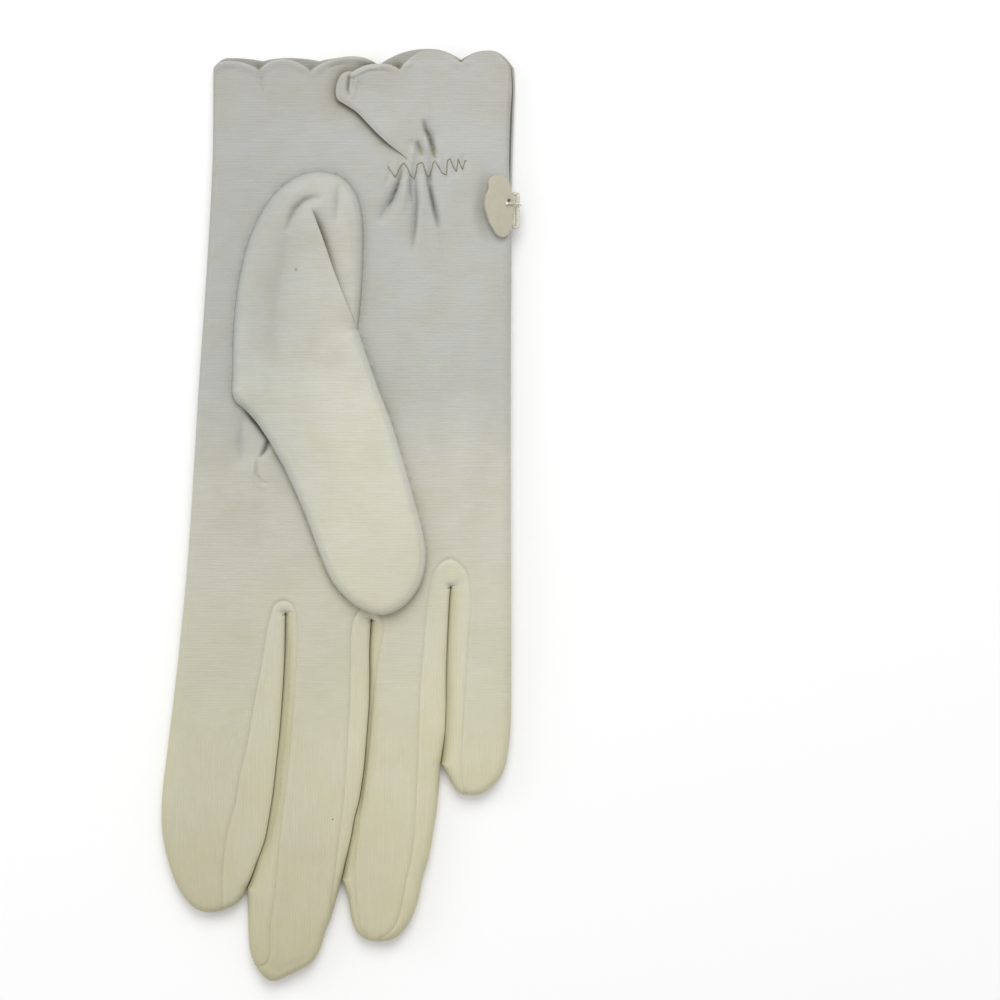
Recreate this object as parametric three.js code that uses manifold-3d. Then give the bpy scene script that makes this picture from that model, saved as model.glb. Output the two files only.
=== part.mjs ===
// A lady's wrist-length glove of knitted nylon, lying on its back with the thumb folded over the
// palm. Millimetres, +Z up. The cuff points to +Y and the fingertips to -Y. The origin is on the
// surface below, under the middle of the glove.

import * as THREE from 'three';
import { mergeVertices } from 'three/addons/utils/BufferGeometryUtils.js';
import Module from 'manifold-3d';

const wasm = await Module();
wasm.setup();

// Driving dimensions.
const WALL = 1.0; // knitted cloth with its turned edges
const GAP = 0.3; // between two pieces that are sewn together
const HAND_HEIGHT = 7.0; // palm and back with the hollow between them
const ROOT_HEIGHT = 6.6; // the same at the roots of the fingers
const CUFF_END = 118; // where the uncut cuff ends, above every scallop
const HAND_END = -17; // where the hand's own solid ends, inside the fingers
const VENT_FOOT = 81; // lower end of the slit beside the little finger
const VENT_HEIGHT = 1.6;
const BUTTON_LENGTH = 16;
const BUTTON_WIDTH = 8.3;
const BUTTON_THICKNESS = 1.0;
const BUTTON_TILT = THREE.MathUtils.degToRad(22); // its edge away from the vent stands up
const LOOP_LENGTH = 9.5;
const LOOP_WIDTH = 2.4;
const LOOP_CORD = 0.7;
const THREAD_DIAMETER = 0.5;

// Stations along the hand from cuff to knuckles: the left and right edges and the height there.
const HAND_ROWS = [
  { y: CUFF_END, left: -31.9, right: 43.8, height: HAND_HEIGHT },
  { y: 113, left: -31.9, right: 43.8, height: HAND_HEIGHT },
  { y: 109, left: -32.0, right: 43.6, height: HAND_HEIGHT },
  { y: 105, left: -32.1, right: 43.5, height: HAND_HEIGHT },
  { y: 101, left: -32.1, right: 43.4, height: HAND_HEIGHT },
  { y: 97.5, left: -32.1, right: 43.3, height: HAND_HEIGHT },
  { y: 94, left: -32.2, right: 43.1, height: HAND_HEIGHT },
  { y: 91, left: -32.2, right: 42.9, height: HAND_HEIGHT },
  { y: 88, left: -32.3, right: 42.8, height: HAND_HEIGHT },
  { y: 85, left: -32.4, right: 42.8, height: HAND_HEIGHT },
  { y: 81, left: -32.6, right: 42.8, height: HAND_HEIGHT },
  { y: 77, left: -32.8, right: 42.8, height: HAND_HEIGHT },
  { y: 72, left: -33.0, right: 42.8, height: HAND_HEIGHT },
  { y: 64, left: -33.5, right: 42.8, height: HAND_HEIGHT },
  { y: 46, left: -34.8, right: 42.6, height: HAND_HEIGHT },
  { y: 28, left: -35.9, right: 42.6, height: HAND_HEIGHT },
  { y: 10, left: -37.0, right: 42.6, height: HAND_HEIGHT },
  { y: -6, left: -38.0, right: 42.6, height: HAND_HEIGHT },
  { y: HAND_END, left: -39.1, right: 42.6, height: HAND_HEIGHT },
];

// Stations along each finger, from inside the hand to the tip.
const INDEX_ROWS = [
  { y: -8, left: -37.6, right: -12.4, height: ROOT_HEIGHT },
  { y: -23.4, left: -39.8, right: -12.4, height: ROOT_HEIGHT },
  { y: -25, left: -40.0, right: -13.9, height: 6.4 },
  { y: -40, left: -41.4, right: -14.3, height: 5.8 },
  { y: -55, left: -43.1, right: -15.4, height: 5.4 },
  { y: -70, left: -45.0, right: -17.0, height: 5.2 },
  { y: -80, left: -44.9, right: -18.8, height: 5.2 },
  { y: -88, left: -43.2, right: -21.5, height: 5.0 },
  { y: -94, left: -40.8, right: -23.8, height: 4.6 },
  { y: -97.5, left: -38.1, right: -26.0, height: 4.0 },
  { y: -99.7, left: -35.0, right: -29.5, height: 2.6 },
];
const MIDDLE_ROWS = [
  { y: -8, left: -15.4, right: 9.2, height: ROOT_HEIGHT },
  { y: -23.4, left: -15.4, right: 9.2, height: ROOT_HEIGHT },
  { y: -25, left: -13.5, right: 9.2, height: 6.4 },
  { y: -26.5, left: -13.5, right: 7.7, height: 6.3 },
  { y: -40, left: -13.9, right: 7.2, height: 5.8 },
  { y: -55, left: -15.0, right: 6.5, height: 5.4 },
  { y: -70, left: -16.6, right: 4.9, height: 5.2 },
  { y: -80, left: -18.4, right: 2.6, height: 5.2 },
  { y: -88, left: -21.1, right: 0.8, height: 5.2 },
  { y: -94, left: -23.4, right: -0.5, height: 5.2 },
  { y: -100, left: -23.4, right: -2.3, height: 5.2 },
  { y: -106, left: -23.1, right: -4.2, height: 5.0 },
  { y: -111, left: -22.2, right: -6.6, height: 4.6 },
  { y: -114.5, left: -20.5, right: -11.3, height: 4.0 },
  { y: -117.1, left: -18.4, right: -14.8, height: 2.6 },
];
const RING_ROWS = [
  { y: -8, left: 6.2, right: 29.2, height: ROOT_HEIGHT },
  { y: -16.8, left: 6.2, right: 29.2, height: ROOT_HEIGHT },
  { y: -18.2, left: 6.2, right: 27.2, height: ROOT_HEIGHT },
  { y: -25, left: 6.2, right: 26.9, height: 6.4 },
  { y: -26.7, left: 8.1, right: 26.8, height: 6.3 },
  { y: -40, left: 7.6, right: 26.4, height: 5.8 },
  { y: -55, left: 6.9, right: 26.0, height: 5.4 },
  { y: -70, left: 5.3, right: 24.4, height: 5.2 },
  { y: -80, left: 3.0, right: 23.0, height: 5.2 },
  { y: -88, left: 1.3, right: 21.4, height: 5.2 },
  { y: -94, left: 1.3, right: 19.8, height: 5.0 },
  { y: -100, left: 2.4, right: 18.3, height: 4.8 },
  { y: -104.4, left: 4.0, right: 15.6, height: 4.0 },
  { y: -107, left: 7.4, right: 12.6, height: 2.6 },
];
const LITTLE_ROWS = [
  { y: -8, left: 25.0, right: 42.2, height: ROOT_HEIGHT },
  { y: -16.8, left: 25.0, right: 42.4, height: ROOT_HEIGHT },
  { y: -18.4, left: 27.6, right: 42.5, height: ROOT_HEIGHT },
  { y: -25, left: 27.3, right: 42.6, height: 6.2 },
  { y: -40, left: 26.8, right: 42.7, height: 5.6 },
  { y: -55, left: 26.4, right: 42.5, height: 5.2 },
  { y: -62, left: 25.6, right: 41.4, height: 5.0 },
  { y: -66, left: 27.2, right: 39.8, height: 4.6 },
  { y: -68.8, left: 29.0, right: 36.8, height: 4.0 },
  { y: -70.3, left: 30.8, right: 34.0, height: 2.6 },
];

// The thumb lies on the palm. Its stations run from the top of its base seam to its tip.
const THUMB_BASE = HAND_HEIGHT + GAP;
const THUMB_ROWS = [
  { y: 85.7, left: -8.0, right: -2.0, height: 2.4 },
  { y: 83.6, left: -12.8, right: 1.6, height: 3.4 },
  { y: 79.5, left: -17.8, right: 4.4, height: 3.8 },
  { y: 74.5, left: -21.7, right: 5.5, height: 4.2 },
  { y: 66, left: -24.5, right: 5.9, height: 4.2 },
  { y: 56, left: -26.2, right: 5.4, height: 4.2 },
  { y: 46.6, left: -26.9, right: 4.6, height: 4.2 },
  { y: 39, left: -27.3, right: 6.8, height: 4.2 },
  { y: 31, left: -27.2, right: 9.7, height: 4.2 },
  { y: 24, left: -21.8, right: 12.3, height: 4.2 },
  { y: 12, left: -14.2, right: 16.1, height: 4.2 },
  { y: 3, left: -9.8, right: 18.6, height: 4.2 },
  { y: -5, left: -6.9, right: 20.8, height: 4.2 },
  { y: -12, left: -4.2, right: 21.4, height: 4.0 },
  { y: -18, left: -1.2, right: 19.5, height: 3.8 },
  { y: -22.5, left: 3.7, right: 16.2, height: 3.2 },
  { y: -25, left: 8.5, right: 12.0, height: 2.4 },
];
const THUMB_HOLE = { x: -11, y: 57, radiusX: 10.5, radiusY: 19 }; // where the thumb opens to the hand

// Folds of the upper cloth, each along a straight line. A positive lift is a ridge.
const HAND_FOLDS = [
  { x1: 0, y1: 106, x2: 17, y2: 88, width: 3.0, lift: 1.0 }, // edge of the folded-over cuff
  { x1: 20.4, y1: 98.2, x2: 26.1, y2: 85.5, width: 3.0, lift: -1.4 }, // deep gather
  { x1: 18.6, y1: 94, x2: 20.4, y2: 88.5, width: 2.4, lift: -0.8 },
  { x1: 10.7, y1: 87.2, x2: 32, y2: 88.4, width: 2.6, lift: -0.8 }, // drawn in by the elastic
  { x1: 17.5, y1: 84, x2: 18.2, y2: 69, width: 3.0, lift: -1.0 },
  { x1: 22.0, y1: 84, x2: 24.1, y2: 72.5, width: 3.0, lift: -0.9 },
  { x1: 14.3, y1: 81, x2: 10.1, y2: 74, width: 3.5, lift: -0.6 },
  { x1: -20.6, y1: 113, x2: -19.6, y2: 106.5, width: 2.4, lift: -0.8 }, // crease below a notch
  { x1: -25.9, y1: 24, x2: -23.0, y2: 4, width: 5.0, lift: -0.5 },
];
const THUMB_FOLDS = [
  { x1: -7, y1: 76, x2: 4, y2: 48, width: 3.4, lift: -1.2 }, // crease where the thumb turns over
  { x1: -13, y1: 76, x2: -6.5, y2: 73, width: 4.0, lift: -0.7 },
];

// Scallops of the cuff's two layers, from left to right. Each ends at a notch.
const PALM_SCALLOPS = [
  { end: -20.6, crest: 114.0, notch: 111.4 },
  { end: -7.6, crest: 114.2, notch: 111.4 },
  { end: 3.0, crest: 114.4, notch: 109.5 },
  { end: 15.2, crest: 112.2, notch: 111.6 },
  { end: 29.9, crest: 116.4, notch: 113.3 },
  { end: 45.0, crest: 116.4, notch: 113.3 },
];
const BACK_SCALLOPS = [
  { end: -19.4, crest: 115.2, notch: 113.8 },
  { end: -5.4, crest: 115.2, notch: 113.8 },
  { end: 9.5, crest: 115.6, notch: 113.0 },
  { end: 30.1, crest: 117.2, notch: 113.8 },
  { end: 45.0, crest: 116.6, notch: 113.6 },
];

// Outlines of the strips between the fingers, from above: down one finger's seam, past its tip,
// and back up the next finger's seam to the arc at the crotch.
const STRIP_OUTLINES = {
  fourchette_index_middle: [
    [-14.4, -21.4], [-16.6, -22.1], [-19.0, -31.9], [-19.9, -39.2], [-23.4, -56.8], [-26.0, -70],
    [-28.5, -80.2], [-29.6, -90], [-29.7, -102], [-25.0, -102], [-24.6, -112], [-22.4, -114],
    [-17.9, -110.8], [-16.6, -94], [-13.7, -68.5], [-11.5, -46.3], [-10.8, -30.5], [-11.2, -24.6],
  ],
  fourchette_middle_ring: [
    [6.8, -22.6], [4.4, -23.9], [2.6, -30.6], [2.5, -44.9], [0.9, -70.8], [-1.4, -89.9],
    [-2.9, -99.8], [-1.0, -102.4], [1.0, -108.5], [9.4, -109], [9.4, -105.8], [5.3, -104.6],
    [3.6, -91.6], [5.0, -74.0], [7.2, -56.1], [9.0, -37.9], [10.7, -27.8], [9.4, -24.8],
  ],
  fourchette_ring_little: [
    [27.5, -11.1], [23.5, -14.2], [21.5, -24.2], [19.7, -46.6], [18.8, -74.0], [15.1, -98.9],
    [12.6, -104.0], [10.2, -105.8], [10.2, -109], [20, -109], [27, -90], [28.6, -72], [31.1, -72],
    [30.2, -65.8], [31.1, -44.3], [32.4, -20.4], [31.8, -15.1],
  ],
};

// Turns a three.js geometry into a solid that can be joined and cut.
function solidOf(geometry) {
  geometry.deleteAttribute('normal');
  geometry.deleteAttribute('uv');
  const merged = mergeVertices(geometry, 1e-4);
  return new wasm.Manifold(new wasm.Mesh({
    numProp: 3,
    vertProperties: new Float32Array(merged.attributes.position.array),
    triVerts: new Uint32Array(merged.index.array),
  }));
}

// Turns a solid back into a named mesh.
function meshOf(solid, name, material) {
  const mesh = solid.getMesh();
  const geometry = new THREE.BufferGeometry();
  geometry.setAttribute('position', new THREE.BufferAttribute(mesh.vertProperties, 3));
  geometry.setIndex(new THREE.BufferAttribute(mesh.triVerts, 1));
  geometry.computeVertexNormals();
  const piece = new THREE.Mesh(geometry, material);
  piece.name = name;
  return piece;
}

// How far the upper cloth is lifted or sunk at one point.
function liftAt(folds, x, y) {
  let lift = 0;
  for (const fold of folds) {
    const alongX = fold.x2 - fold.x1;
    const alongY = fold.y2 - fold.y1;
    const reach = ((x - fold.x1) * alongX + (y - fold.y1) * alongY) / (alongX ** 2 + alongY ** 2);
    const nearest = THREE.MathUtils.clamp(reach, 0, 1);
    const distance = Math.hypot(x - fold.x1 - nearest * alongX, y - fold.y1 - nearest * alongY);
    lift += fold.lift * Math.exp(-((distance / fold.width) ** 2));
  }
  return lift;
}

// The points around one station: flat below, round at both sides, folded above.
function sectionRing(row, inset, base, counts, folds) {
  const left = row.left + inset;
  const right = row.right - inset;
  const low = base + inset;
  const high = base + row.height - inset;
  const radius = Math.min((high - low) / 2, (right - left) / 2);
  const middle = (low + high) / 2;
  const ring = [];
  for (let i = 0; i < counts.below; i += 1) {
    ring.push([THREE.MathUtils.lerp(left + radius, right - radius, i / (counts.below - 1)), low]);
  }
  for (let i = 1; i < counts.side; i += 1) {
    const angle = Math.PI * (i / counts.side - 0.5);
    ring.push([right - radius + radius * Math.cos(angle), middle + radius * Math.sin(angle)]);
  }
  for (let i = 0; i < counts.above; i += 1) {
    ring.push([THREE.MathUtils.lerp(right - radius, left + radius, i / (counts.above - 1)), high]);
  }
  for (let i = 1; i < counts.side; i += 1) {
    const angle = Math.PI * (i / counts.side + 0.5);
    ring.push([left + radius + radius * Math.cos(angle), middle + radius * Math.sin(angle)]);
  }
  return ring.map(([x, z]) => {
    const share = (z - low) / (high - low);
    return [x, row.y, z + share * liftAt(folds, x, row.y)];
  });
}

// A closed solid through a list of stations that run towards -Y.
function loftSolid(rows, inset, base, counts, folds) {
  const rings = rows.map((row) => sectionRing(row, inset, base, counts, folds));
  const size = rings[0].length;
  const positions = rings.flat(2);
  const index = [];
  for (let r = 0; r + 1 < rings.length; r += 1) {
    for (let i = 0; i < size; i += 1) {
      const next = (i + 1) % size;
      const a = r * size + i;
      const b = r * size + next;
      index.push(a, b, a + size, b, b + size, a + size);
    }
  }
  for (const [ring, flip] of [[0, true], [rings.length - 1, false]]) {
    const centre = positions.length / 3;
    const points = rings[ring];
    for (const axis of [0, 1, 2]) {
      positions.push(points.reduce((sum, point) => sum + point[axis], 0) / size);
    }
    for (let i = 0; i < size; i += 1) {
      const a = ring * size + i;
      const b = ring * size + ((i + 1) % size);
      index.push(...(flip ? [centre, b, a] : [centre, a, b]));
    }
  }
  const geometry = new THREE.BufferGeometry();
  geometry.setAttribute('position', new THREE.Float32BufferAttribute(positions, 3));
  geometry.setIndex(index);
  return solidOf(geometry);
}

// A solid that stands on an outline seen from above, between two heights.
function prismSolid(shape, low, high) {
  const geometry = new THREE.ExtrudeGeometry(shape, {
    depth: high - low,
    bevelEnabled: false,
    curveSegments: 6,
  });
  geometry.translate(0, 0, low);
  return solidOf(geometry);
}

// An outline with every side moved outwards by the same distance.
function grownOutline(points, distance) {
  const turn = Math.sign(THREE.ShapeUtils.area(points));
  return points.map((point, i) => {
    const before = points[(i + points.length - 1) % points.length];
    const after = points[(i + 1) % points.length];
    const into = point.clone().sub(before).normalize();
    const out = after.clone().sub(point).normalize();
    const normal = new THREE.Vector2(into.y + out.y, -into.x - out.x).normalize();
    const stretch = 1 / Math.max(0.5, normal.dot(new THREE.Vector2(out.y, -out.x)));
    return point.clone().addScaledVector(normal, turn * distance * stretch);
  });
}

// What lies beyond one layer's scalloped edge.
function beyondScallops(scallops, start, low, high) {
  const far = CUFF_END + 10;
  const shape = new THREE.Shape();
  shape.moveTo(start.x, far);
  shape.lineTo(start.x, start.y);
  let last = start;
  for (const scallop of scallops) {
    const control = 2 * scallop.crest - (last.y + scallop.notch) / 2;
    shape.quadraticCurveTo((last.x + scallop.end) / 2, control, scallop.end, scallop.notch);
    last = { x: scallop.end, y: scallop.notch };
  }
  shape.lineTo(last.x, far);
  return prismSolid(shape, low, high);
}

// The hand with its four fingers: one closed skin, hollowed from the cuff.
const HAND_COUNTS = { below: 6, side: 5, above: 36 };
const FINGER_COUNTS = { below: 3, side: 4, above: 6 };

function gloveShell() {
  const fingers = [INDEX_ROWS, MIDDLE_ROWS, RING_ROWS, LITTLE_ROWS];
  let outer = loftSolid(HAND_ROWS, 0, 0, HAND_COUNTS, HAND_FOLDS);
  for (const rows of fingers) {
    outer = outer.add(loftSolid(rows, 0, 0, FINGER_COUNTS, HAND_FOLDS));
  }
  const hollowRows = HAND_ROWS.map((row) => ({ ...row }));
  hollowRows[0].y = CUFF_END + 2 * WALL;
  hollowRows[hollowRows.length - 1].y = HAND_END + 2 * WALL;
  let hollow = loftSolid(hollowRows, WALL, 0, HAND_COUNTS, HAND_FOLDS);
  for (const rows of fingers) {
    hollow = hollow.add(loftSolid(rows.slice(0, -1), WALL, 0, FINGER_COUNTS, HAND_FOLDS));
  }
  const middle = HAND_HEIGHT / 2;
  const palmEdge = beyondScallops(PALM_SCALLOPS, { x: -34, y: 112.6 }, middle, 3 * HAND_HEIGHT);
  const backEdge = beyondScallops(BACK_SCALLOPS, { x: -34, y: 113.4 }, -HAND_HEIGHT, middle);
  return outer.subtract(hollow).subtract(palmEdge).subtract(backEdge);
}

// The slit that opens the edge beside the little finger, so that the cuff can widen.
function ventSolid() {
  const geometry = new THREE.BoxGeometry(8, CUFF_END + 6 - VENT_FOOT, VENT_HEIGHT);
  geometry.translate(45, (CUFF_END + 6 + VENT_FOOT) / 2, HAND_HEIGHT / 2);
  return solidOf(geometry);
}

function thumbHole() {
  const shape = new THREE.Shape();
  shape.absellipse(THUMB_HOLE.x, THUMB_HOLE.y, THUMB_HOLE.radiusX, THUMB_HOLE.radiusY);
  return prismSolid(shape, HAND_HEIGHT - 2 * WALL, THUMB_BASE + 1.5 * WALL);
}

const THUMB_COUNTS = { below: 4, side: 4, above: 16 };

function thumbSolid() {
  const outer = loftSolid(THUMB_ROWS, 0, THUMB_BASE, THUMB_COUNTS, THUMB_FOLDS);
  const inner = loftSolid(THUMB_ROWS.slice(1, -1), WALL, THUMB_BASE, THUMB_COUNTS, THUMB_FOLDS);
  return outer.subtract(inner).subtract(thumbHole());
}

// An oval plate with a scalloped edge.
function buttonGeometry() {
  const scallops = 14;
  const depth = 0.035;
  const steps = 70;
  const shape = new THREE.Shape();
  for (let i = 0; i < steps; i += 1) {
    const angle = (2 * Math.PI * i) / steps;
    const reach = 1 - depth * (0.5 - 0.5 * Math.cos(scallops * angle));
    const x = (BUTTON_WIDTH / 2) * reach * Math.cos(angle);
    const y = (BUTTON_LENGTH / 2) * reach * Math.sin(angle);
    if (i === 0) shape.moveTo(x, y);
    else shape.lineTo(x, y);
  }
  const geometry = new THREE.ExtrudeGeometry(shape, { depth: BUTTON_THICKNESS, bevelEnabled: false });
  geometry.translate(0, 0, -BUTTON_THICKNESS / 2);
  return geometry;
}

// A round cord bent into a long loop, flat on the XY plane.
function loopGeometry() {
  const turn = (LOOP_WIDTH - LOOP_CORD) / 2;
  const reach = (LOOP_LENGTH - LOOP_CORD) / 2 - turn;
  const sides = 8;
  const bends = 8;
  const route = [];
  for (const [sign, start] of [[1, 0], [-1, Math.PI]]) {
    for (let i = 0; i <= bends; i += 1) {
      const angle = start + (Math.PI * i) / bends;
      route.push([turn * Math.cos(angle), sign * reach + turn * Math.sin(angle), angle]);
    }
  }
  const positions = [];
  for (const [x, y, angle] of route) {
    for (let i = 0; i < sides; i += 1) {
      const around = (2 * Math.PI * i) / sides;
      const out = (LOOP_CORD / 2) * Math.cos(around);
      positions.push(x + out * Math.cos(angle), y + out * Math.sin(angle));
      positions.push((LOOP_CORD / 2) * Math.sin(around));
    }
  }
  const index = [];
  for (let r = 0; r < route.length; r += 1) {
    for (let i = 0; i < sides; i += 1) {
      const a = r * sides + i;
      const b = r * sides + ((i + 1) % sides);
      const c = ((r + 1) % route.length) * sides + i;
      const d = ((r + 1) % route.length) * sides + ((i + 1) % sides);
      index.push(a, c, b, b, c, d);
    }
  }
  const geometry = new THREE.BufferGeometry();
  geometry.setAttribute('position', new THREE.Float32BufferAttribute(positions, 3));
  geometry.setIndex(index);
  geometry.computeVertexNormals();
  return geometry;
}

// A thread along X with a knot at each end.
function threadGeometry(length) {
  const radius = THREAD_DIAMETER / 2;
  const knot = 2 * radius;
  const half = length / 2;
  const profile = [
    [0, -half], [knot * 0.7, -half + knot * 0.3], [knot, -half + knot], [radius, -half + 2 * knot],
    [radius, half - 2 * knot], [knot, half - knot], [knot * 0.7, half - knot * 0.3], [0, half],
  ].map(([x, y]) => new THREE.Vector2(x, y));
  const geometry = new THREE.LatheGeometry(profile, 10);
  geometry.rotateZ(-Math.PI / 2);
  return geometry;
}

// Finishes.
const palmNylon = new THREE.MeshStandardMaterial({ color: 0xc6c5bd, roughness: 0.8, metalness: 0 });
const fingerNylon = new THREE.MeshStandardMaterial({ color: 0xd6d0bd, roughness: 0.8, metalness: 0 });
const thumbNylon = new THREE.MeshStandardMaterial({ color: 0xd2cdb9, roughness: 0.8, metalness: 0 });
const creamPlastic = new THREE.MeshStandardMaterial({ color: 0xc4b9a0, roughness: 0.45, metalness: 0 });
const creamCord = new THREE.MeshStandardMaterial({ color: 0xd8d3c4, roughness: 0.7, metalness: 0 });

// The glove, put together.
const glove = new THREE.Group();

const shell = gloveShell();
let trank = shell.subtract(ventSolid()).subtract(thumbHole());
for (const [name, outline] of Object.entries(STRIP_OUTLINES)) {
  const points = outline.map(([x, y]) => new THREE.Vector2(x, y));
  const strip = prismSolid(new THREE.Shape(points), -1, 2 * HAND_HEIGHT);
  const room = prismSolid(new THREE.Shape(grownOutline(points, GAP)), -1, 2 * HAND_HEIGHT);
  glove.add(meshOf(shell.intersect(strip), name, fingerNylon));
  trank = trank.subtract(room);
}
glove.add(meshOf(trank, 'trank', palmNylon));
glove.add(meshOf(thumbSolid(), 'thumb', thumbNylon));

const fastening = new THREE.Group();
fastening.position.set(39.4, 77, 8.0);
fastening.rotation.y = BUTTON_TILT;
glove.add(fastening);

const button = new THREE.Mesh(buttonGeometry(), creamPlastic);
button.name = 'button';
fastening.add(button);

const thread = new THREE.Mesh(threadGeometry(4.4), creamCord);
thread.name = 'button_thread';
thread.position.set(3.9, 0.8, BUTTON_THICKNESS / 2 + THREAD_DIAMETER + GAP);
thread.rotation.y = 0.2;
fastening.add(thread);

const loop = new THREE.Mesh(loopGeometry(), creamCord);
loop.name = 'button_loop';
loop.position.set(43.8, 76.2, 5.3);
glove.add(loop);

export default glove;
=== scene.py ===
import math

import bpy
import numpy as np
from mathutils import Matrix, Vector
from mathutils.bvhtree import BVHTree
from mathutils.geometry import delaunay_2d_cdt
from mathutils.kdtree import KDTree


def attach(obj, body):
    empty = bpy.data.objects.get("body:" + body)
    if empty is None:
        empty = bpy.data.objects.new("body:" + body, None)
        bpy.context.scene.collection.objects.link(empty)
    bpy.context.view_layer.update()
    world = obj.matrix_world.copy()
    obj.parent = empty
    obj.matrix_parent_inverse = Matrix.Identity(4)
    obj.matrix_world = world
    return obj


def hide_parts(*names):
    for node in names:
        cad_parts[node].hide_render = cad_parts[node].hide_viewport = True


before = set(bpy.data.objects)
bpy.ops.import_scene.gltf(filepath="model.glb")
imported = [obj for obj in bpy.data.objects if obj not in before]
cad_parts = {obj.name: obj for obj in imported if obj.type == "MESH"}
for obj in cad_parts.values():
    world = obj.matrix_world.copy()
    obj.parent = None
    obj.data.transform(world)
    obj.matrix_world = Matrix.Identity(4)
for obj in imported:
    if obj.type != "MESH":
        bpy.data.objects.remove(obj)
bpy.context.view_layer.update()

bpy.ops.object.select_all(action="DESELECT")


# Camera, floor and light. The glove is looked at from straight above, with its cuff up. It lies
# to the left of the middle, as in the photograph, on a plain white table under soft white light.
MM = 0.001
PHOTO_SPAN = 250 * MM  # what the photograph's width covers at the height of the glove
PHOTO_CENTRE = (39.875 * MM, 3.75 * MM)
LOOKED_AT_HEIGHT = 6 * MM
CAMERA_HEIGHT = 1.25
SENSOR = 36


def new_object(name, data):
    """A camera, lamp, mesh or curve put in the scene."""
    item = bpy.data.objects.new(name, data)
    bpy.context.scene.collection.objects.link(item)
    return item


lens = bpy.data.cameras.new("photo_lens")
lens.sensor_width = SENSOR
lens.lens = SENSOR * (CAMERA_HEIGHT - LOOKED_AT_HEIGHT) / PHOTO_SPAN
lens.clip_start = 0.01
camera = new_object("photo_camera", lens)
camera.location = (*PHOTO_CENTRE, CAMERA_HEIGHT)
bpy.context.scene.camera = camera


def shader_of(name, inputs):
    """A new material, with its node tree and its shader, some of whose inputs are set."""
    material = bpy.data.materials.new(name)
    material.use_nodes = True
    shader = material.node_tree.nodes["Principled BSDF"]
    for socket, value in inputs.items():
        shader.inputs[socket].default_value = value
    return material, material.node_tree, shader


bpy.ops.mesh.primitive_plane_add(size=3, location=(0, 0, -0.05 * MM))
table = bpy.context.object
table.name = "table_top"
table_white, _, _ = shader_of("table_white", {"Base Color": (0.98, 0.98, 0.98, 1), "Roughness": 0.9})
table.data.materials.append(table_white)


def soft_light(name, place, size, power):
    """A square white studio lamp that shines at the glove's middle from a place."""
    lamp = bpy.data.lights.new(name, "AREA")
    lamp.size = size
    lamp.energy = power
    holder = new_object(name, lamp)
    holder.location = place
    holder.rotation_euler = (-Vector(place)).to_track_quat("-Z", "Y").to_euler()


soft_light("key_lamp", (0.05, 0.85, 1.05), 0.9, 9.5)
soft_light("side_lamp", (-0.8, 0.3, 0.4), 0.4, 1.15)
bpy.context.scene.view_settings.view_transform = "Standard"
room = bpy.data.worlds.new("white_room")
room.use_nodes = True
room.node_tree.nodes["Background"].inputs["Color"].default_value = (1.0, 1.0, 1.0, 1)
room.node_tree.nodes["Background"].inputs["Strength"].default_value = 0.64
bpy.context.scene.world = room


# Trank: palm and back of the hand, cut in one cloth of knitted nylon and joined round the outer
# edges. Its palm layer and its back layer are open at the scalloped cuff and at the vent beside
# the little finger. Its outlines are in millimetres, as seen from above.
CLOTH = 0.5  # thickness of the knit
SLIM_SHARE = 0.12  # share of it that is left in the thin places
HAND_TOP = 6.4  # height of the palm's cloth above the table
FINGER_TOP = 4.7
CUFF_TOP = 3.7
FINGERS_START, CUFF_START = -30, 104
FINGER_GAP = 0.03  # between neighbouring fingers
RIB_PITCH = 0.72  # from one rib of the knit to the next
SHUT_LEVEL = 1.75  # height of the edges where the palm and the back meet
CROTCH_LEVEL = 3.2
SMOOTHED_FROM = 2.0  # how far from its edges the cloth is smoothed
PLEAT_PAINTED_SHADE = 0.6  # painted shade inside a pleat, in both marks
OUTER, SHARP, GENTLE = 3.2, 1.7, 5.5  # how far from an edge the cloth reaches its full height
STEP = 0.8  # between corners along outlines and seams

# Outer edge from the cuff down to the index fingertip and round it.
RADIAL_EDGE = [
    (-32.0, 112.2), (-32.2, 89.5), (-33.0, 72.6), (-34.2, 53.8), (-35.9, 28.8), (-37.4, 3.8),
    (-38.5, -12), (-40.6, -33.8), (-42.0, -46.2), (-43.5, -58.8), (-44.9, -71.2), (-44.9, -78.8),
    (-44.0, -84.2), (-42.6, -89.2), (-40.6, -94), (-38.0, -97.5), (-35.6, -99.2), (-32.6, -99.7),
    (-28.6, -98.8), (-26.2, -97.4), (-24.5, -95.4), (-23.6, -93.5),
]
INDEX_INNER = [
    (-23.6, -93.5), (-22.3, -90.5), (-21.1, -87), (-19.1, -81.5), (-18.0, -75.8), (-17.0, -69.5),
    (-16.3, -63.2), (-15.4, -55), (-14.7, -46.2), (-14.1, -35.8), (-13.9, -25.4),
]
MIDDLE_TIP = [
    (-23.45, -93.5), (-23.3, -99.8), (-23.2, -105.2), (-22.7, -109.7), (-21.5, -112.8),
    (-20.0, -115.2), (-18.2, -116.7), (-16.5, -116.9), (-14.4, -116.1), (-11.0, -114.4),
    (-7.5, -112.4), (-5.2, -108.8), (-4.0, -104.7), (-2.6, -101.2), (-1.4, -97), (0.15, -91.4),
]
MIDDLE_INNER = [
    (0.15, -91.4), (0.9, -88), (1.8, -84), (2.6, -80.4), (3.4, -75.8), (4.5, -71.8), (5.2, -67.6),
    (5.8, -63.2), (6.4, -56), (7.0, -48.2), (7.2, -41.8), (7.2, -33), (7.5, -27.2),
]
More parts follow.
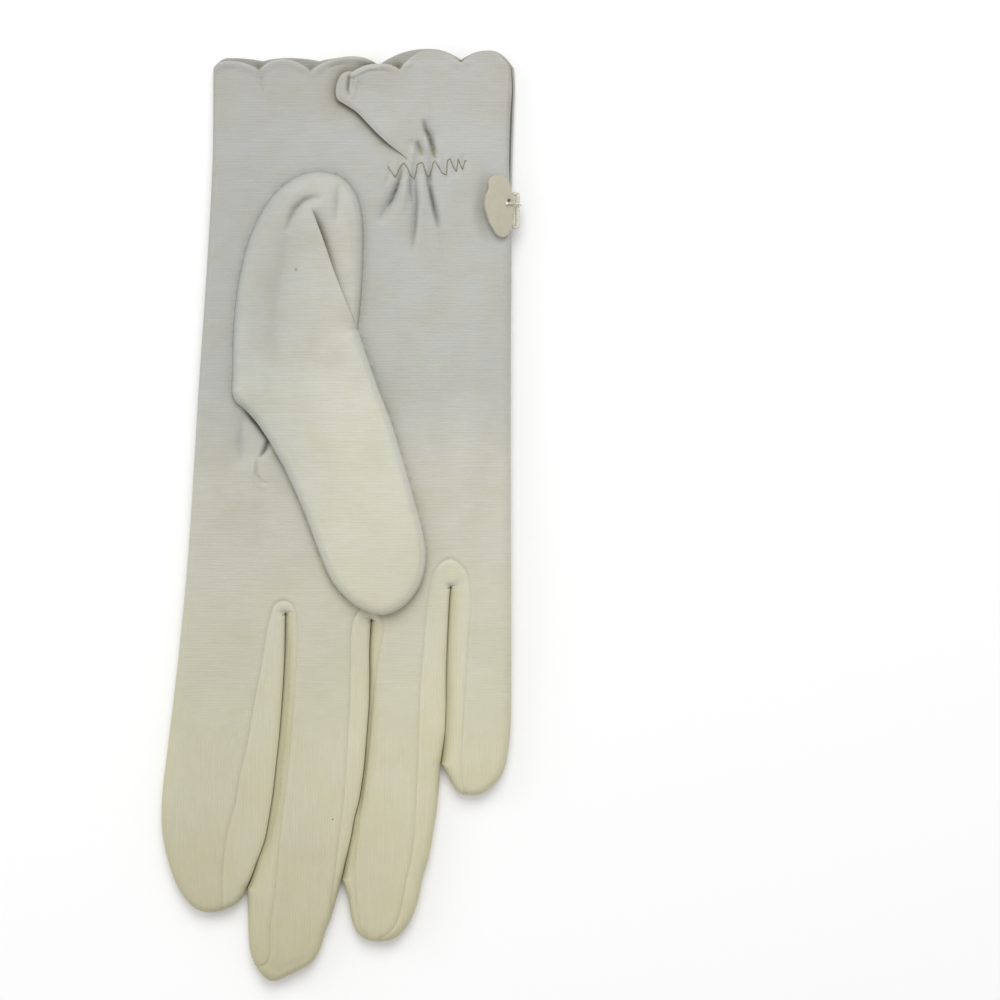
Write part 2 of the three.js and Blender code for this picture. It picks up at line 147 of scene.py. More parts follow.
RING_TIP = [
    (0.3, -91.4), (1.7, -95.7), (2.6, -101.1), (3.5, -103.7), (4.9, -105.6), (6.9, -106.7),
    (9.8, -107), (12.8, -106.5), (15.4, -104.6), (17.5, -101.6), (18.8, -98.4), (19.8, -94.6),
    (20.6, -90.4), (21.9, -86.4), (23.0, -80.4), (24.0, -74), (24.6, -67.6), (25.0, -62.4),
]
RING_INNER = [
    (25.0, -62.4), (25.9, -55.8), (26.3, -48.2), (26.4, -38.6), (26.7, -30.6), (27.1, -22.6),
    (27.4, -18.6),
]
ULNAR_EDGE = [
    (25.15, -62.4), (26.8, -65.2), (28.5, -68.5), (30.2, -70), (32.3, -70.35), (35.2, -70),
    (37.8, -68.2), (39.9, -65.8), (41.2, -62.9), (42.0, -58.8), (42.5, -53.8), (42.7, -36),
    (42.6, 0), (42.6, 45), (42.75, 66), (42.6, 78),
]
CROTCHES = [(-13.82, -24.6), (7.62, -26.2), (27.52, -17.9)]
# Free edges of the two layers from the foot of the vent up, and across the cuff.
PALM_VENT = [(42.6, 78), (42.3, 84), (42.2, 92), (42.5, 101), (42.9, 107), (42.6, 111.5)]
BACK_VENT = [(42.6, 78), (42.9, 84), (43.1, 92), (43.4, 101), (43.6, 107), (43.4, 112)]
# Each scallop runs from notch to notch: left end, crest and right end.
PALM_SCALLOPS = [
    ((-32.0, 112.2), (-28.4, 113.7), (-20.7, 111.6)),
    ((-20.5, 111.4), (-14.8, 114.1), (-7.7, 111.3)),
    ((-7.4, 111.4), (3.2, 114.9), (9.2, 112.9)),
]
FLAP_SCALLOPS = [
    ((9.2, 112.9), (10.2, 112.95), (14.6, 111.6)),
    ((14.9, 111.7), (22.4, 116.4), (30.0, 113.4)),
    ((30.2, 113.4), (37.0, 116.1), (42.6, 111.5)),
]
BACK_SCALLOPS = [
    ((-32.0, 112.2), (-28.2, 114.7), (-19.6, 113.9)),
    ((-19.6, 113.9), (-13.4, 114.7), (-5.4, 113.9)),
    ((-5.4, 113.9), (3.6, 115.0), (9.4, 112.9)),
    ((9.4, 112.9), (21.8, 117.0), (30.1, 114.2)),
    ((30.1, 114.2), (37.0, 116.6), (43.4, 112.0)),
]
# Edge of the cuff's fold, from the cuff down. The cloth on its right lies over that on its left.
FLAP_RIM = [(9.2, 112.9), (7.4, 112.8), (5.6, 112.3), (4.1, 111.6), (3.0, 110.9)]
FLAP_SIDE = [
    (3.0, 110.9), (1.8, 111.0), (0.5, 110.5), (-0.7, 108.6), (-1.2, 106), (-0.8, 104), (0.8, 102.9),
    (4.0, 100.8), (6.5, 98.2), (9.5, 95.1), (12.5, 92.4), (15.4, 90.2), (17.0, 88.6),
]

# Seams of the strips between the fingers: down one finger, round the crotch and down the next.
STRIP_SEAMS = {
    "fourchette_index_middle": [
        (-29.7, -99.3), (-29.6, -90), (-28.5, -80.2), (-26.3, -71.6), (-25.2, -65), (-23.3, -56.8),
        (-21.4, -45.6), (-19.9, -38.2), (-18.8, -31.2), (-17.8, -26.4), (-16.6, -22.6),
        (-14.6, -21.4), (-12.6, -21.9), (-11.3, -24.2), (-10.8, -30.5), (-11.3, -40), (-12.2, -53.3),
        (-13.4, -66), (-14.8, -77), (-15.8, -87), (-16.6, -96), (-17.6, -103), (-17.7, -108),
        (-18.1, -111.3), (-19.4, -112.9), (-21.5, -112.8),
    ],
    "fourchette_middle_ring": [
        (-2.6, -101.2), (-2.1, -95), (-1.3, -88), (-0.2, -79), (0.8, -70.8), (1.5, -60), (2.2, -48),
        (2.5, -38.6), (2.6, -30.6), (3.3, -26.2), (5.2, -23.4), (7.6, -22.9), (9.6, -24.2),
        (10.7, -27), (10.5, -30), (9.5, -35.4), (8.5, -43.4), (7.3, -55), (6.3, -64), (5.2, -72.5),
        (4.2, -81), (3.5, -89), (4.0, -97), (4.8, -102.8), (5.9, -105.2), (7.0, -106.7),
    ],
    "fourchette_ring_little": [
        (9.2, -107), (10.2, -105.8), (12.2, -104.6), (13.8, -102.2), (15.1, -98.4), (16.2, -92.6),
        (17.5, -86.6), (18.4, -80), (18.8, -72), (19.3, -62), (19.6, -52), (20.0, -42), (20.8, -33),
        (21.4, -25), (22.0, -19.6), (22.9, -15.4), (24.8, -12.2), (27.5, -11), (30.2, -12.6),
        (32.0, -15.6), (32.5, -20.6), (32.1, -30), (31.4, -40), (30.8, -50), (30.3, -60),
        (30.3, -66), (31.0, -69), (31.6, -70.3),
    ],
}
# How the outline of each strip closes through the empty space beyond the fingertips.
STRIP_CLOSINGS = {
    "fourchette_index_middle": [(-26, -114), (-27, -104)],
    "fourchette_middle_ring": [(6.6, -110), (-1.2, -110), (-1.2, -103.2)],
    "fourchette_ring_little": [(31, -74), (27.5, -80), (22.5, -100), (17, -109), (9.2, -109)],
}
THUMB_HOLE = {"x": -11, "y": 57, "across": 10.5, "along": 19}

# Creases of the palm layer: line, depth, and width on the left and right of the line's run. A
# crease of negative depth is a ridge.
PALM_CREASES = [
    ([(20.6, 99), (21.3, 96.3), (22.1, 94.6), (22.9, 92), (23.2, 90.2), (23.9, 88.4)],
     2.3, 0.75, 0.5),
    ([(21.8, 99.5), (22.8, 96), (23.8, 92.6)], 0.5, 1.5, 1.0),
    ([(19.0, 93.6), (19.9, 91.4), (20.5, 89.4)], 1.3, 0.7, 0.9),
    ([(17.6, 94), (19.0, 91)], 0.5, 1.2, 1.2),
    ([(18.4, 93.4), (17.9, 88), (17.3, 83.6)], -0.9, 0.6, 0.6),
    ([(21.2, 95), (21.9, 89.2), (21.6, 84)], -1.0, 0.6, 0.6),
    ([(13.6, 90), (13.7, 87), (14.2, 84.4)], -0.5, 0.8, 0.8),
    ([(15.4, 87.4), (14.9, 84.4), (14.1, 81.8), (12.9, 79), (11.6, 76.8)], 1.3, 0.5, 0.55),
    ([(14.6, 83), (12.8, 78.8), (11.2, 76), (9.2, 73)], 1.3, 1.2, 1.4),
    ([(17.4, 85.6), (17.5, 81.2), (18.0, 77.6)], 0.9, 0.5, 0.5),
    ([(18.7, 86), (18.8, 81.2), (19.0, 78), (18.7, 72.2), (17.8, 65)], 1.4, 0.6, 1.3),
    ([(21.2, 86.4), (22.0, 83), (22.8, 79), (23.5, 75.8), (24.6, 71.4)], 1.9, 0.8, 0.45),
    ([(23.2, 78), (24.3, 73), (25.6, 67.4), (26.4, 62)], 0.5, 1.1, 0.9),
    ([(20.2, 87), (20.4, 80), (21.4, 72), (22.4, 64)], 0.4, 1.6, 1.6),
    ([(22.6, 86), (22.4, 82.8)], 0.7, 0.4, 0.4),
    ([(16.3, 85), (16.0, 80), (15.2, 75)], -0.6, 0.9, 1.1),
    ([(20.1, 85), (20.6, 80), (21.1, 75)], -0.6, 0.9, 0.9),
    ([(12.0, 88.8), (12.1, 85.0), (11.2, 82)], 0.4, 0.5, 0.5),
    ([(25.2, 90.4), (25.9, 86.0), (26.6, 83)], 0.45, 0.5, 0.5),
    ([(28.3, 90.4), (28.4, 87.0), (29, 84)], 0.4, 0.5, 0.5),
    ([(30.4, 90.4), (30.7, 87.4)], 0.3, 0.5, 0.5),
    ([(-20.6, 112.0), (-20.2, 109.4), (-19.2, 106.4)], 0.9, 0.9, 0.4),
    ([(-7.6, 112.0), (-7.7, 109.2)], 0.9, 0.5, 0.5),
    ([(14.7, 112.2), (15.2, 109.2)], 0.9, 0.5, 0.5),
    ([(30.1, 114), (30.2, 111.2)], 0.8, 0.5, 0.5),
    ([(2.4, 111), (2.0, 108.6), (1.8, 106.4), (2.2, 104.6)], 1.1, 0.35, 0.4),
    ([(1.0, 110.4), (0.2, 108), (0.1, 105.4)], 0.35, 0.3, 0.3),
    ([(3.4, 110.6), (3.0, 108), (3.1, 105.4)], 0.35, 0.3, 0.3),
    ([(4.9, 110.6), (3.7, 108), (2.9, 103.8)], -0.4, 0.5, 0.4),
    ([(-24.2, 26.6), (-20.3, 22.4), (-18.0, 19.2), (-17.2, 17)], 1.6, 0.8, 0.6),
    ([(-17.6, 19.6), (-19.0, 16.2), (-20.2, 14.2)], 1.5, 0.7, 0.45),
    ([(-20.8, 13.6), (-20.9, 10), (-19.6, 8.2), (-17.6, 7.6)], 0.6, 0.4, 0.4),
    ([(-21.8, 15), (-22.0, 10), (-20.6, 7.6), (-18.6, 6.4)], -0.6, 0.7, 0.7),
    ([(-24.6, 25), (-25.0, 19), (-24.8, 11)], 0.8, 1.6, 1.4),
    ([(-22, 4), (-20.8, -2), (-20.4, -12)], 0.5, 3.0, 3.0),
    ([(-13, -86.4), (-7, -87.4), (-3, -86)], 0.25, 2.2, 2.2),
    ([(-18.2, -111), (-17.4, -112.8), (-15.4, -113.6), (-12, -112.5), (-8.6, -110.8), (-6.2, -107)],
     0.55, 0.35, 0.35),
    ([(5.4, -104.4), (6.9, -105.4), (8.6, -105.7), (10.6, -105.5)], 0.55, 0.35, 0.35),
]
# Darker spots: painted shade at the notches of the cuff and in the folds, broad yellower patches on the
# cuff's left and near the cuff, and two small stains: place, size and strength.
STAIN_AND_SHADE_SPOTS = [
    (-20.7, 112.3, 1.0, 0.9), (-7.6, 112.0, 0.9, 0.9), (14.0, 112.6, 1.3, 1.0),
    (30.1, 113.9, 0.8, 0.7), (20.2, 90.4, 0.9, 0.5), (23.1, 91.0, 1.0, 0.6),
    (-18.0, 18.9, 0.8, 0.9), (-17.0, 15.0, 1.6, 0.45), (-27.0, 104.5, 8.0, 0.22),
    (-30.5, 84.0, 6.0, 0.16), (13.0, 96.0, 6.0, 0.14), (14.5, 66.9, 0.4, 0.6),
    (14.9, 67.7, 0.3, 0.5),
]
# Middle of a strip of painted shade on the middle finger beside the index finger, where it slopes into the
# gap.
PAINTED_SHADE_STRIP = [(-12.7, -24), (-13.4, -46), (-14.8, -64), (-16.6, -78), (-18.8, -88)]
# Painted shadow on the cloth under the button's raised edge.
BUTTON_PAINTED_SHADOW = [(38.4, 86.4), (36.2, 84.2), (35.2, 80), (34.9, 75), (36.2, 70.6), (38.6, 67.6)]
# How the corners of the mesh are spaced: over the cloth, in rings along its edge and in rings
# beside its seams. The layers that show are finer than those below them.
SHOWN = {"spacing": 0.95, "edge_rings": (0.12, 0.4, 0.85, 1.45), "line_rings": (0.25, 0.65)}
BELOW = {"edge_rings": (0.12, 0.5, 1.2)}
# Parts of the palm layer that need finer corners: left, foot, right, top and spacing.
PALM_FINE = [(8, 64, 33, 101, 0.34), (-3, 101, 12, 113, 0.34), (-28, 3, -14, 28, 0.34)]


def flowing(points, step):
    """Points at even steps along a smooth curve through given points."""
    p = np.array(points, float)
    ends = np.vstack([2 * p[0] - p[1], p, 2 * p[-1] - p[-2]])
    knots = np.concatenate([[0], np.cumsum(np.linalg.norm(np.diff(ends, axis=0), axis=1) ** 0.5)])
    pieces = []
    for i in range(1, len(ends) - 2):
        near, times = list(ends[i - 1:i + 3]), knots[i - 1:i + 3]
        t = np.linspace(times[1], times[2], 24, endpoint=False)[:, None]
        for spans in ([(0, 1), (1, 2), (2, 3)], [(0, 2), (1, 3)], [(1, 2)]):
            near = [
                (times[b] - t) / (times[b] - times[a]) * near[n]
                + (t - times[a]) / (times[b] - times[a]) * near[n + 1]
                for n, (a, b) in enumerate(spans)]
        pieces.append(near[0])
    dense = np.vstack(pieces + [p[-1:]])
    reach = np.concatenate([[0], np.cumsum(np.linalg.norm(np.diff(dense, axis=0), axis=1))])
    even = np.linspace(0, reach[-1], max(1, round(reach[-1] / step)) + 1)
    return np.column_stack([np.interp(even, reach, dense[:, k]) for k in (0, 1)])


def scalloped(scallops, step):
    """An edge through scallops from left to right, each one an arch."""
    line = []
    for left, crest, right in scallops:
        x = np.linspace(left[0], right[0], max(6, round((right[0] - left[0]) / step)))
        before = x < crest[0]
        reach = np.where(before, crest[0] - left[0], right[0] - crest[0])
        foot = np.where(before, left[1], right[1])
        y = crest[1] - (crest[1] - foot) * np.abs((x - crest[0]) / reach) ** 2.2
        line.append(np.column_stack([x, y]))
    joined = np.vstack(line)
    apart = np.linalg.norm(np.diff(joined, axis=0), axis=1) > 0.05
    return joined[np.concatenate([[True], apart])]


def joined_edges(edges):
    """One line from edges in order as (points, roundness, height), with both at each point."""
    points, rounds, heights = [], [], []
    for line, roundness, height in edges:
        for p, h in zip(line, np.broadcast_to(height, len(line))):
            if points and math.dist(points[-1], p) < 0.03:
                continue
            points.append(tuple(p))
            rounds.append(roundness)
            heights.append(h)
    if math.dist(points[0], points[-1]) < 0.03:
        points, rounds, heights = points[:-1], rounds[:-1], heights[:-1]
    return np.array(points), np.array(rounds, float), np.array(heights, float)


def is_inside(points, outline):
    """Whether each point lies inside a closed outline."""
    found = np.zeros(len(points), bool)
    x, y = points[:, 0], points[:, 1]
    for (x1, y1), (x2, y2) in zip(outline, np.roll(outline, -1, axis=0)):
        if y1 != y2:
            found ^= ((y1 > y) != (y2 > y)) & (x < (x2 - x1) * (y - y1) / (y2 - y1) + x1)
    return found


class NearLines:
    """Finds the nearest place on a set of lines, with its line and its corner on that line."""

    def __init__(self, lines):
        places, self.line, self.corner = [], [], []
        for number, line in enumerate(lines):
            for i, (a, b) in enumerate(zip(line[:-1], line[1:])):
                parts = max(1, math.ceil(math.dist(a, b) / 0.15))
                for k in range(parts):
                    places.append(a + (b - a) * k / parts)
                    self.line.append(number)
                    self.corner.append(i)
            places.append(line[-1])
            self.line.append(number)
            self.corner.append(len(line) - 1)
        self.line, self.corner = np.array(self.line), np.array(self.corner)
        self.tree = KDTree(len(places))
        for i, (x, y) in enumerate(places):
            self.tree.insert((x, y, 0), i)
        self.tree.balance()

    def near(self, points):
        """Distance, line and corner for each point."""
        found = [self.tree.find((x, y, 0)) for x, y in points]
        number = np.array([f[1] for f in found])
        return np.array([f[2] for f in found]), self.line[number], self.corner[number]


def plan_of(outline, lines, spacing, edge_rings, line_rings, fine=()):
    """Triangles that fill an outline, with corners along its inner lines, and finer beside those,
    beside the outline and in the boxes in fine."""
    loops = [np.vstack([outline, outline[:1]])] + lines
    near = NearLines(loops)
    taken, chosen = set(), []
    for number, line in enumerate(loops):
        run = np.gradient(line, axis=0)
        side = np.column_stack([-run[:, 1], run[:, 0]]) / np.linalg.norm(run, axis=1)[:, None]
        for ring in edge_rings if number == 0 else line_rings:
            for way in (1, -1) if number else (1,):
                offered = line + side * ring * way
                distance, _, _ = near.near(offered)
                for x, y in offered[(distance >= ring * 0.8) & is_inside(offered, outline)]:
                    cell = (round(x / 0.25), round(y / 0.25))
                    if cell not in taken:
                        taken.add(cell)
                        chosen.append((x, y))
    grid, gaps = [], []
    for x0, y0, x1, y1, gap in [(*outline.min(axis=0), *outline.max(axis=0), spacing), *fine]:
        for row, y in enumerate(np.arange(y0, y1, gap * 0.866)):
            for x in np.arange(x0 + (gap / 2 if row % 2 else 0), x1, gap):
                if gap < spacing or not any(b[0] <= x <= b[2] and b[1] <= y <= b[3] for b in fine):
                    grid.append((x, y))
                    gaps.append(gap)
    grid, gaps = np.array(grid), np.array(gaps)
    distance, owner, _ = near.near(grid)
    least = np.where(owner == 0, edge_rings[-1], line_rings[-1]) + 0.4 * gaps
    grid = grid[(distance >= least) & is_inside(grid, outline)]
    points = [tuple(p) for p in outline]
    count = len(points)
    edges = [(i, (i + 1) % count) for i in range(count)]
    known = {(round(x, 4), round(y, 4)): i for i, (x, y) in enumerate(points)}
    numbered = []
    for line in lines:
        numbers = []
        for x, y in line:
            key = (round(x, 4), round(y, 4))
            if key not in known:
                known[key] = len(points)
                points.append((x, y))
            numbers.append(known[key])
        edges += list(zip(numbers[:-1], numbers[1:]))
        numbered.append(numbers)
    points += chosen + [tuple(p) for p in grid]
    out = delaunay_2d_cdt([Vector(p) for p in points], edges, [], 1, 1e-5, True)
    places = np.array([(v.x, v.y) for v in out[0]])
    home = {source: number for number, sources in enumerate(out[3]) for source in sources}
    faces = np.array([f for f in out[2] if len(f) == 3])
    a, b, c = places[faces[:, 0]], places[faces[:, 1]], places[faces[:, 2]]
    area = (b[:, 0] - a[:, 0]) * (c[:, 1] - a[:, 1]) - (b[:, 1] - a[:, 1]) * (c[:, 0] - a[:, 0])
    faces[area < 0] = faces[area < 0][:, ::-1]
    kept = (np.abs(area) > 1e-6) & is_inside((a + b + c) / 3, outline)
    return {
        "places": places,
        "faces": faces[kept],
        "outline": [home[i] for i in range(count)],
        "lines": [[home[i] for i in numbers] for numbers in numbered],
    }


def rounded(distance, roundness):
    """How far the cloth has risen at a distance from its edge, from 0 to 1."""
    return np.sqrt(np.clip(1 - np.exp(-3.4 * distance / roundness), 0, 1))


def smoothed(height, faces, free, rounds):
    """Heights after each free corner has moved to the mean of its neighbours a few times."""
    pairs = np.vstack([faces[:, [0, 1]], faces[:, [1, 2]], faces[:, [2, 0]]])
    pairs = np.unique(np.sort(pairs, axis=1), axis=0)
    count = np.bincount(pairs.ravel(), minlength=len(height))
    for _ in range(rounds):
        total = np.bincount(pairs[:, 0], height[pairs[:, 1]], len(height))
        total += np.bincount(pairs[:, 1], height[pairs[:, 0]], len(height))
        height = np.where(free & (count > 0), total / np.maximum(count, 1), height)
    return height


def bell(distance, width):
    """1 on a line, falling smoothly to nothing on both sides of it."""
    return np.exp(-((distance / width) ** 2))


def along_line(points, line):
    """For each point, its distance from a line, positive on the left of its run, and its place
    along it."""
    best = np.full(len(points), 1e9)
    place = np.zeros(len(points))
    sign = np.ones(len(points))
    lengths = np.linalg.norm(np.diff(line, axis=0), axis=1)
    passed = 0.0
    for a, b, length in zip(line[:-1], line[1:], lengths):
        run = (b - a) / length
        reach = np.clip((points - a) @ run, 0, length)
        offset = points - a - reach[:, None] * run
        distance = np.hypot(offset[:, 0], offset[:, 1])
        cross = run[0] * (points[:, 1] - a[1]) - run[1] * (points[:, 0] - a[0])
        closer = distance < best - 1e-9
        best = np.where(closer, distance, best)
        place = np.where(closer, (passed + reach) / lengths.sum(), place)
        sign = np.where(closer, np.where(cross >= 0, 1.0, -1.0), sign)
        passed += length
    return best * sign, place


def creased(points, creases):
    """The change of height from a table of creases, and how deep in a sharp crease each point
    lies."""
    change = np.zeros(len(points))
    core = np.zeros(len(points))
    for line, depth, left, right in creases:
        distance, place = along_line(points, np.array(line, float))
        taper = np.sin(np.pi * np.clip(place, 0, 1)) ** 0.8
        width = np.where(distance >= 0, left, right)
        change -= depth * taper * np.exp(-(np.abs(distance) / width) ** 1.4)
        narrow = min(left, right)
        if depth > 0.6 and narrow < 1.15:
            core = np.maximum(core, min(depth, 1.6) * taper * bell(distance, 0.15 + 0.3 * narrow))
    return change, core


def hemmed(distance):
    """The turned edge of the cuff: a raised band with a faint stitched line along its inner side."""
    band = 0.17 * (1 - np.tanh((distance - 1.45) / 0.28))
    return band - 0.2 * bell(distance - 1.75, 0.25) - 0.3 * bell(distance, 0.22)


def lapped(height, distance, share, cut, rise, dip, rolled):
    """Heights where the cloth on the left of a cut rises over the other side, which dips, and the
    heights of that other side along the cut. rise and dip are a height and a reach, and rolled
    is the depth and width of the upper side's rounded edge."""
    upper = distance >= 0
    lift = np.where(upper, rise[0] * np.exp(-distance / rise[1]), -dip[0] * np.exp(distance / dip[1]))
    height = height + share * lift
    low = height[cut] - (rise[0] + dip[0]) * share[cut]
    return np.where(upper, height - rolled[0] * share * bell(distance, rolled[1]), height), low


def spot(places, centre, size):
    """1 at a spot's centre, falling smoothly to nothing round it."""
    return np.exp(-((places - centre) ** 2).sum(axis=1) / size ** 2)


def painted_shade_line(places, points, width):
    """Painted shade along a smooth curve, fading towards both its ends."""
    distance, place = along_line(places, flowing(points, STEP))
    return np.sin(np.pi * np.clip(place, 0, 1)) * bell(distance, width)


def painted_shadow_below(distance, share, strength, reach):
    """Painted shadow on the cloth that lies under a fold, strongest at the fold's edge."""
    return share * np.where(distance >= 0, 0, strength * np.exp(distance / reach))


# How a pleat runs under its upper side and back: share of its depth and of its rise.
PLEAT_SHAPE = [(0, 0), (0.3, 0.02), (0.7, 0.04), (1, 0.25), (0.85, 0.6), (0.4, 0.7), (0.08, 0.75)]


def pleated(points, faces, cut, low, depth, open_start):
    """Opens a sheet along a cut. The side on the left of its run stays above, and the other side
    runs on under it by depth, at the heights in low, and turns back up to the rim."""
    line = points[cut]
    run = np.gradient(line[:, :2], axis=0)
    across = np.column_stack([-run[:, 1], run[:, 0]]) / np.linalg.norm(run, axis=1)[:, None]
    last = len(cut) - 1
    rows = []
    grown = list(points)
    for share, rise in PLEAT_SHAPE:
        row = []
        for i in range(len(cut)):
            if i == last or (i == 0 and not open_start):
                row.append(cut[i])
                continue
            x, y = line[i, :2] + across[i] * depth[i] * share
            row.append(len(grown))
            grown.append((x, y, low[i] + (line[i, 2] - low[i]) * rise))
        rows.append(row)
    rows.append(list(cut))
    below = dict(zip(cut, rows[0]))
    middles = points[faces].mean(axis=1)[:, :2]
    touching = np.isin(faces, cut).any(axis=1)
    signed, _ = along_line(middles[touching], line[:, :2])
    changed = faces.copy()
    for number, side in zip(np.flatnonzero(touching), signed):
        if side < 0:
            changed[number] = [below.get(corner, corner) for corner in faces[number]]
    added = []
    for near_row, far_row in zip(rows[:-1], rows[1:]):
        for i in range(last):
            a, b, c, d = near_row[i], near_row[i + 1], far_row[i + 1], far_row[i]
            added += [t for t in ((a, b, c), (a, c, d)) if len(set(t)) == 3]
    return np.array(grown), np.vstack([changed, np.array(added)])


def only(piece):
    """Selects one piece and nothing else, and makes it the active one."""
    bpy.ops.object.select_all(action="DESELECT")
    piece.select_set(True)
    bpy.context.view_layer.objects.active = piece


def applied(piece, name, kind, **settings):
    """Finishes the active piece with a modifier and applies it."""
    modifier = piece.modifiers.new(name, kind)
    for setting, value in settings.items():
        setattr(modifier, setting, value)
    bpy.ops.object.modifier_apply(modifier=name)


def cloth_piece(name, points, faces, marks, slim):
    """A piece of the knit from its outer face's corners in millimetres, with its marks of soil, stains and
    painted shade. It is thin where slim says so."""
    used = np.unique(faces)
    place_of = np.full(len(points), -1)
    place_of[used] = np.arange(len(used))
    mesh = bpy.data.meshes.new(name)
    mesh.from_pydata((points[used] * MM).tolist(), [], place_of[faces].tolist())
    mesh.update()
    for kind, strength in marks.items():
        marking = mesh.attributes.new(kind, "FLOAT", "POINT")
        marking.data.foreach_set("value", np.clip(strength[used], 0, 1).astype(np.float32))
    piece = new_object(name, mesh)
    full = piece.vertex_groups.new(name="full_thickness")
    full.add(np.flatnonzero(~slim[used]).tolist(), 1.0, "REPLACE")
    only(piece)
    applied(piece, "knit_wall", "SOLIDIFY", thickness=CLOTH * MM, offset=-1, vertex_group=full.name,
            thickness_vertex_group=SLIM_SHARE)
    bpy.ops.object.shade_smooth_by_angle(angle=math.radians(65))
    piece.select_set(False)
    return piece


radial, index_inner, middle_tip, middle_inner, ring_tip, ring_inner, ulnar, palm_vent, back_vent = [
    flowing(points, STEP) for points in (
        RADIAL_EDGE, INDEX_INNER, MIDDLE_TIP, MIDDLE_INNER, RING_TIP, RING_INNER, ULNAR_EDGE,
        PALM_VENT, BACK_VENT)]
palm_cuff = scalloped(PALM_SCALLOPS, STEP)
flap_cuff = scalloped(FLAP_SCALLOPS, STEP)
back_cuff = scalloped(BACK_SCALLOPS, STEP)
flap_rim = flowing(FLAP_RIM, STEP)
flap_cut = np.vstack([flap_rim, flowing(FLAP_SIDE, STEP)[1:]])


def gap_level(line, level):
    """Heights along the edge of a finger gap, from that of the fingertips up to one level."""
    return SHUT_LEVEL + (level - SHUT_LEVEL) * np.clip(np.arange(len(line)) / 10, 0, 1)


shut_edges = [(radial, OUTER, SHUT_LEVEL)]
# Beside each gap, the finger nearer the thumb lies over the next one.
for number, (gap, upper, lower, tip) in enumerate([
        (index_inner, 4.15, 3.5, middle_tip), (middle_inner, 4.15, 3.4, ring_tip),
        (ring_inner, 4.2, 3.8, ulnar)]):
    shut_edges += [
        (gap, SHARP, gap_level(gap, upper)),
        (np.array(CROTCHES[number:number + 1]), SHARP, CROTCH_LEVEL),
        (gap[::-1] + (FINGER_GAP, 0), GENTLE, gap_level(gap, lower)[::-1]),
        (tip, OUTER, SHUT_LEVEL),
    ]
shut_line, shut_round, shut_level = joined_edges(shut_edges)
palm_outline = np.vstack([shut_line, palm_vent[1:], flap_cuff[::-1][1:], palm_cuff[::-1][1:-1]])
back_outline = np.vstack([shut_line, back_vent[1:], back_cuff[::-1][1:-1]])


def ended_on(line, outline, ends):
    """A line whose named ends are moved to the nearest corners of an outline."""
    line = line.copy()
    for end in ends:
        line[end] = outline[np.argmin(np.linalg.norm(outline - line[end], axis=1))]
    return line


seams = {
    name: ended_on(flowing(points, STEP), shut_line, (0, -1))
    for name, points in STRIP_SEAMS.items()
}
flap_cut = ended_on(flap_cut, palm_outline, (0,))
# The hole in the palm through which the thumb of the hand passes.
turn = np.linspace(0, 2 * np.pi, round(2 * math.pi * THUMB_HOLE["along"] / 1.6) + 1)
thumb_hole = np.column_stack([
    THUMB_HOLE["x"] + THUMB_HOLE["across"] * np.cos(turn),
    THUMB_HOLE["y"] + THUMB_HOLE["along"] * np.sin(turn),
])
palm = plan_of(palm_outline, [*seams.values(), flap_cut, thumb_hole], fine=PALM_FINE, **SHOWN)
back = plan_of(back_outline, list(seams.values()), spacing=1.7, line_rings=(0.3,), **BELOW)


def side_field(vent, vent_level):
    """Round-off and height along the shut edges and one layer's vent."""
    levels = np.linspace(shut_level[-1], vent_level, len(vent))
    line = np.vstack([shut_line, vent[1:]])
    rounds = np.concatenate([shut_round, np.full(len(vent) - 1, OUTER)])
    return NearLines([line]), rounds, np.concatenate([shut_level, levels[1:]])


palm_sides = side_field(palm_vent, vent_level=2.6)
back_sides = side_field(back_vent, vent_level=1.0)
seams_near = NearLines(list(seams.values()))


def palm_height(points):
    """Height of the palm layer's upper face, without its seams and creases."""
    near, rounds, levels = palm_sides
    distance, _, corner = near.near(points)
    x, y = points[:, 0], points[:, 1]
    top = HAND_TOP - (HAND_TOP - FINGER_TOP) / (1 + np.exp((y - FINGERS_START) / 9))
    top -= (HAND_TOP - CUFF_TOP) / (1 + np.exp(-(y - CUFF_START) / 6))
    top += 0.16 * np.sin(x / 7.1 + 1.3 * np.sin(y / 19)) * np.sin(y / 11.3 + 0.8)
    top += 0.10 * np.sin(x / 3.3 + y / 8.7 + 2.0) * np.sin(y / 5.9 - x / 13)
    level = levels[corner]
    return level + (top - level) * rounded(distance, rounds[corner]), distance


palm_z, palm_edge = palm_height(palm["places"])
palm_z = smoothed(palm_z, palm["faces"], palm_edge > SMOOTHED_FROM, 10)
palm_fold, palm_core = creased(palm["places"], PALM_CREASES) * np.clip(palm_edge / 2, 0, 1)
palm_z += palm_fold
palm_seam, _, _ = seams_near.near(palm["places"])
inland = np.clip(palm_edge / 0.8, 0, 1)
palm_z += inland * (0.14 * bell(palm_seam - 0.8, 0.5) - 0.18 * bell(palm_seam, 0.4))

# The cloth to the right of the cuff's fold lies over that to its left, and is opened into a pleat.
flap_corners = palm["lines"][3]
flap_distance, flap_place = along_line(palm["places"], flap_cut)
flap_distance[flap_corners] = 0
flap_share = np.clip((1 - flap_place) * 5, 0, 1)
left_cuff, _, _ = NearLines([palm_cuff]).near(palm["places"])
right_cuff, _, _ = NearLines([flap_rim, flap_cuff, palm_vent]).near(palm["places"])
palm_z += hemmed(np.where(flap_distance >= 0, right_cuff, left_cuff))
palm_z, flap_low = lapped(palm_z, flap_distance, flap_share, flap_corners, rise=(1.5, 6), dip=(0.9, 3),
                          rolled=(0.7, 0.7))

back_near, back_rounds, back_levels = back_sides
back_edge, _, back_corner = back_near.near(back["places"])
back_z = back_levels[back_corner] * (1 - rounded(back_edge, np.minimum(back_rounds[back_corner], 2.4)))
back_seam, _, _ = seams_near.near(back["places"])
back_z += 0.3 * bell(back_seam, 0.35) * np.clip(back_edge / 0.8, 0, 1)
back_z += 0.35 * bell(NearLines([back_cuff]).near(back["places"])[0], 2.0)

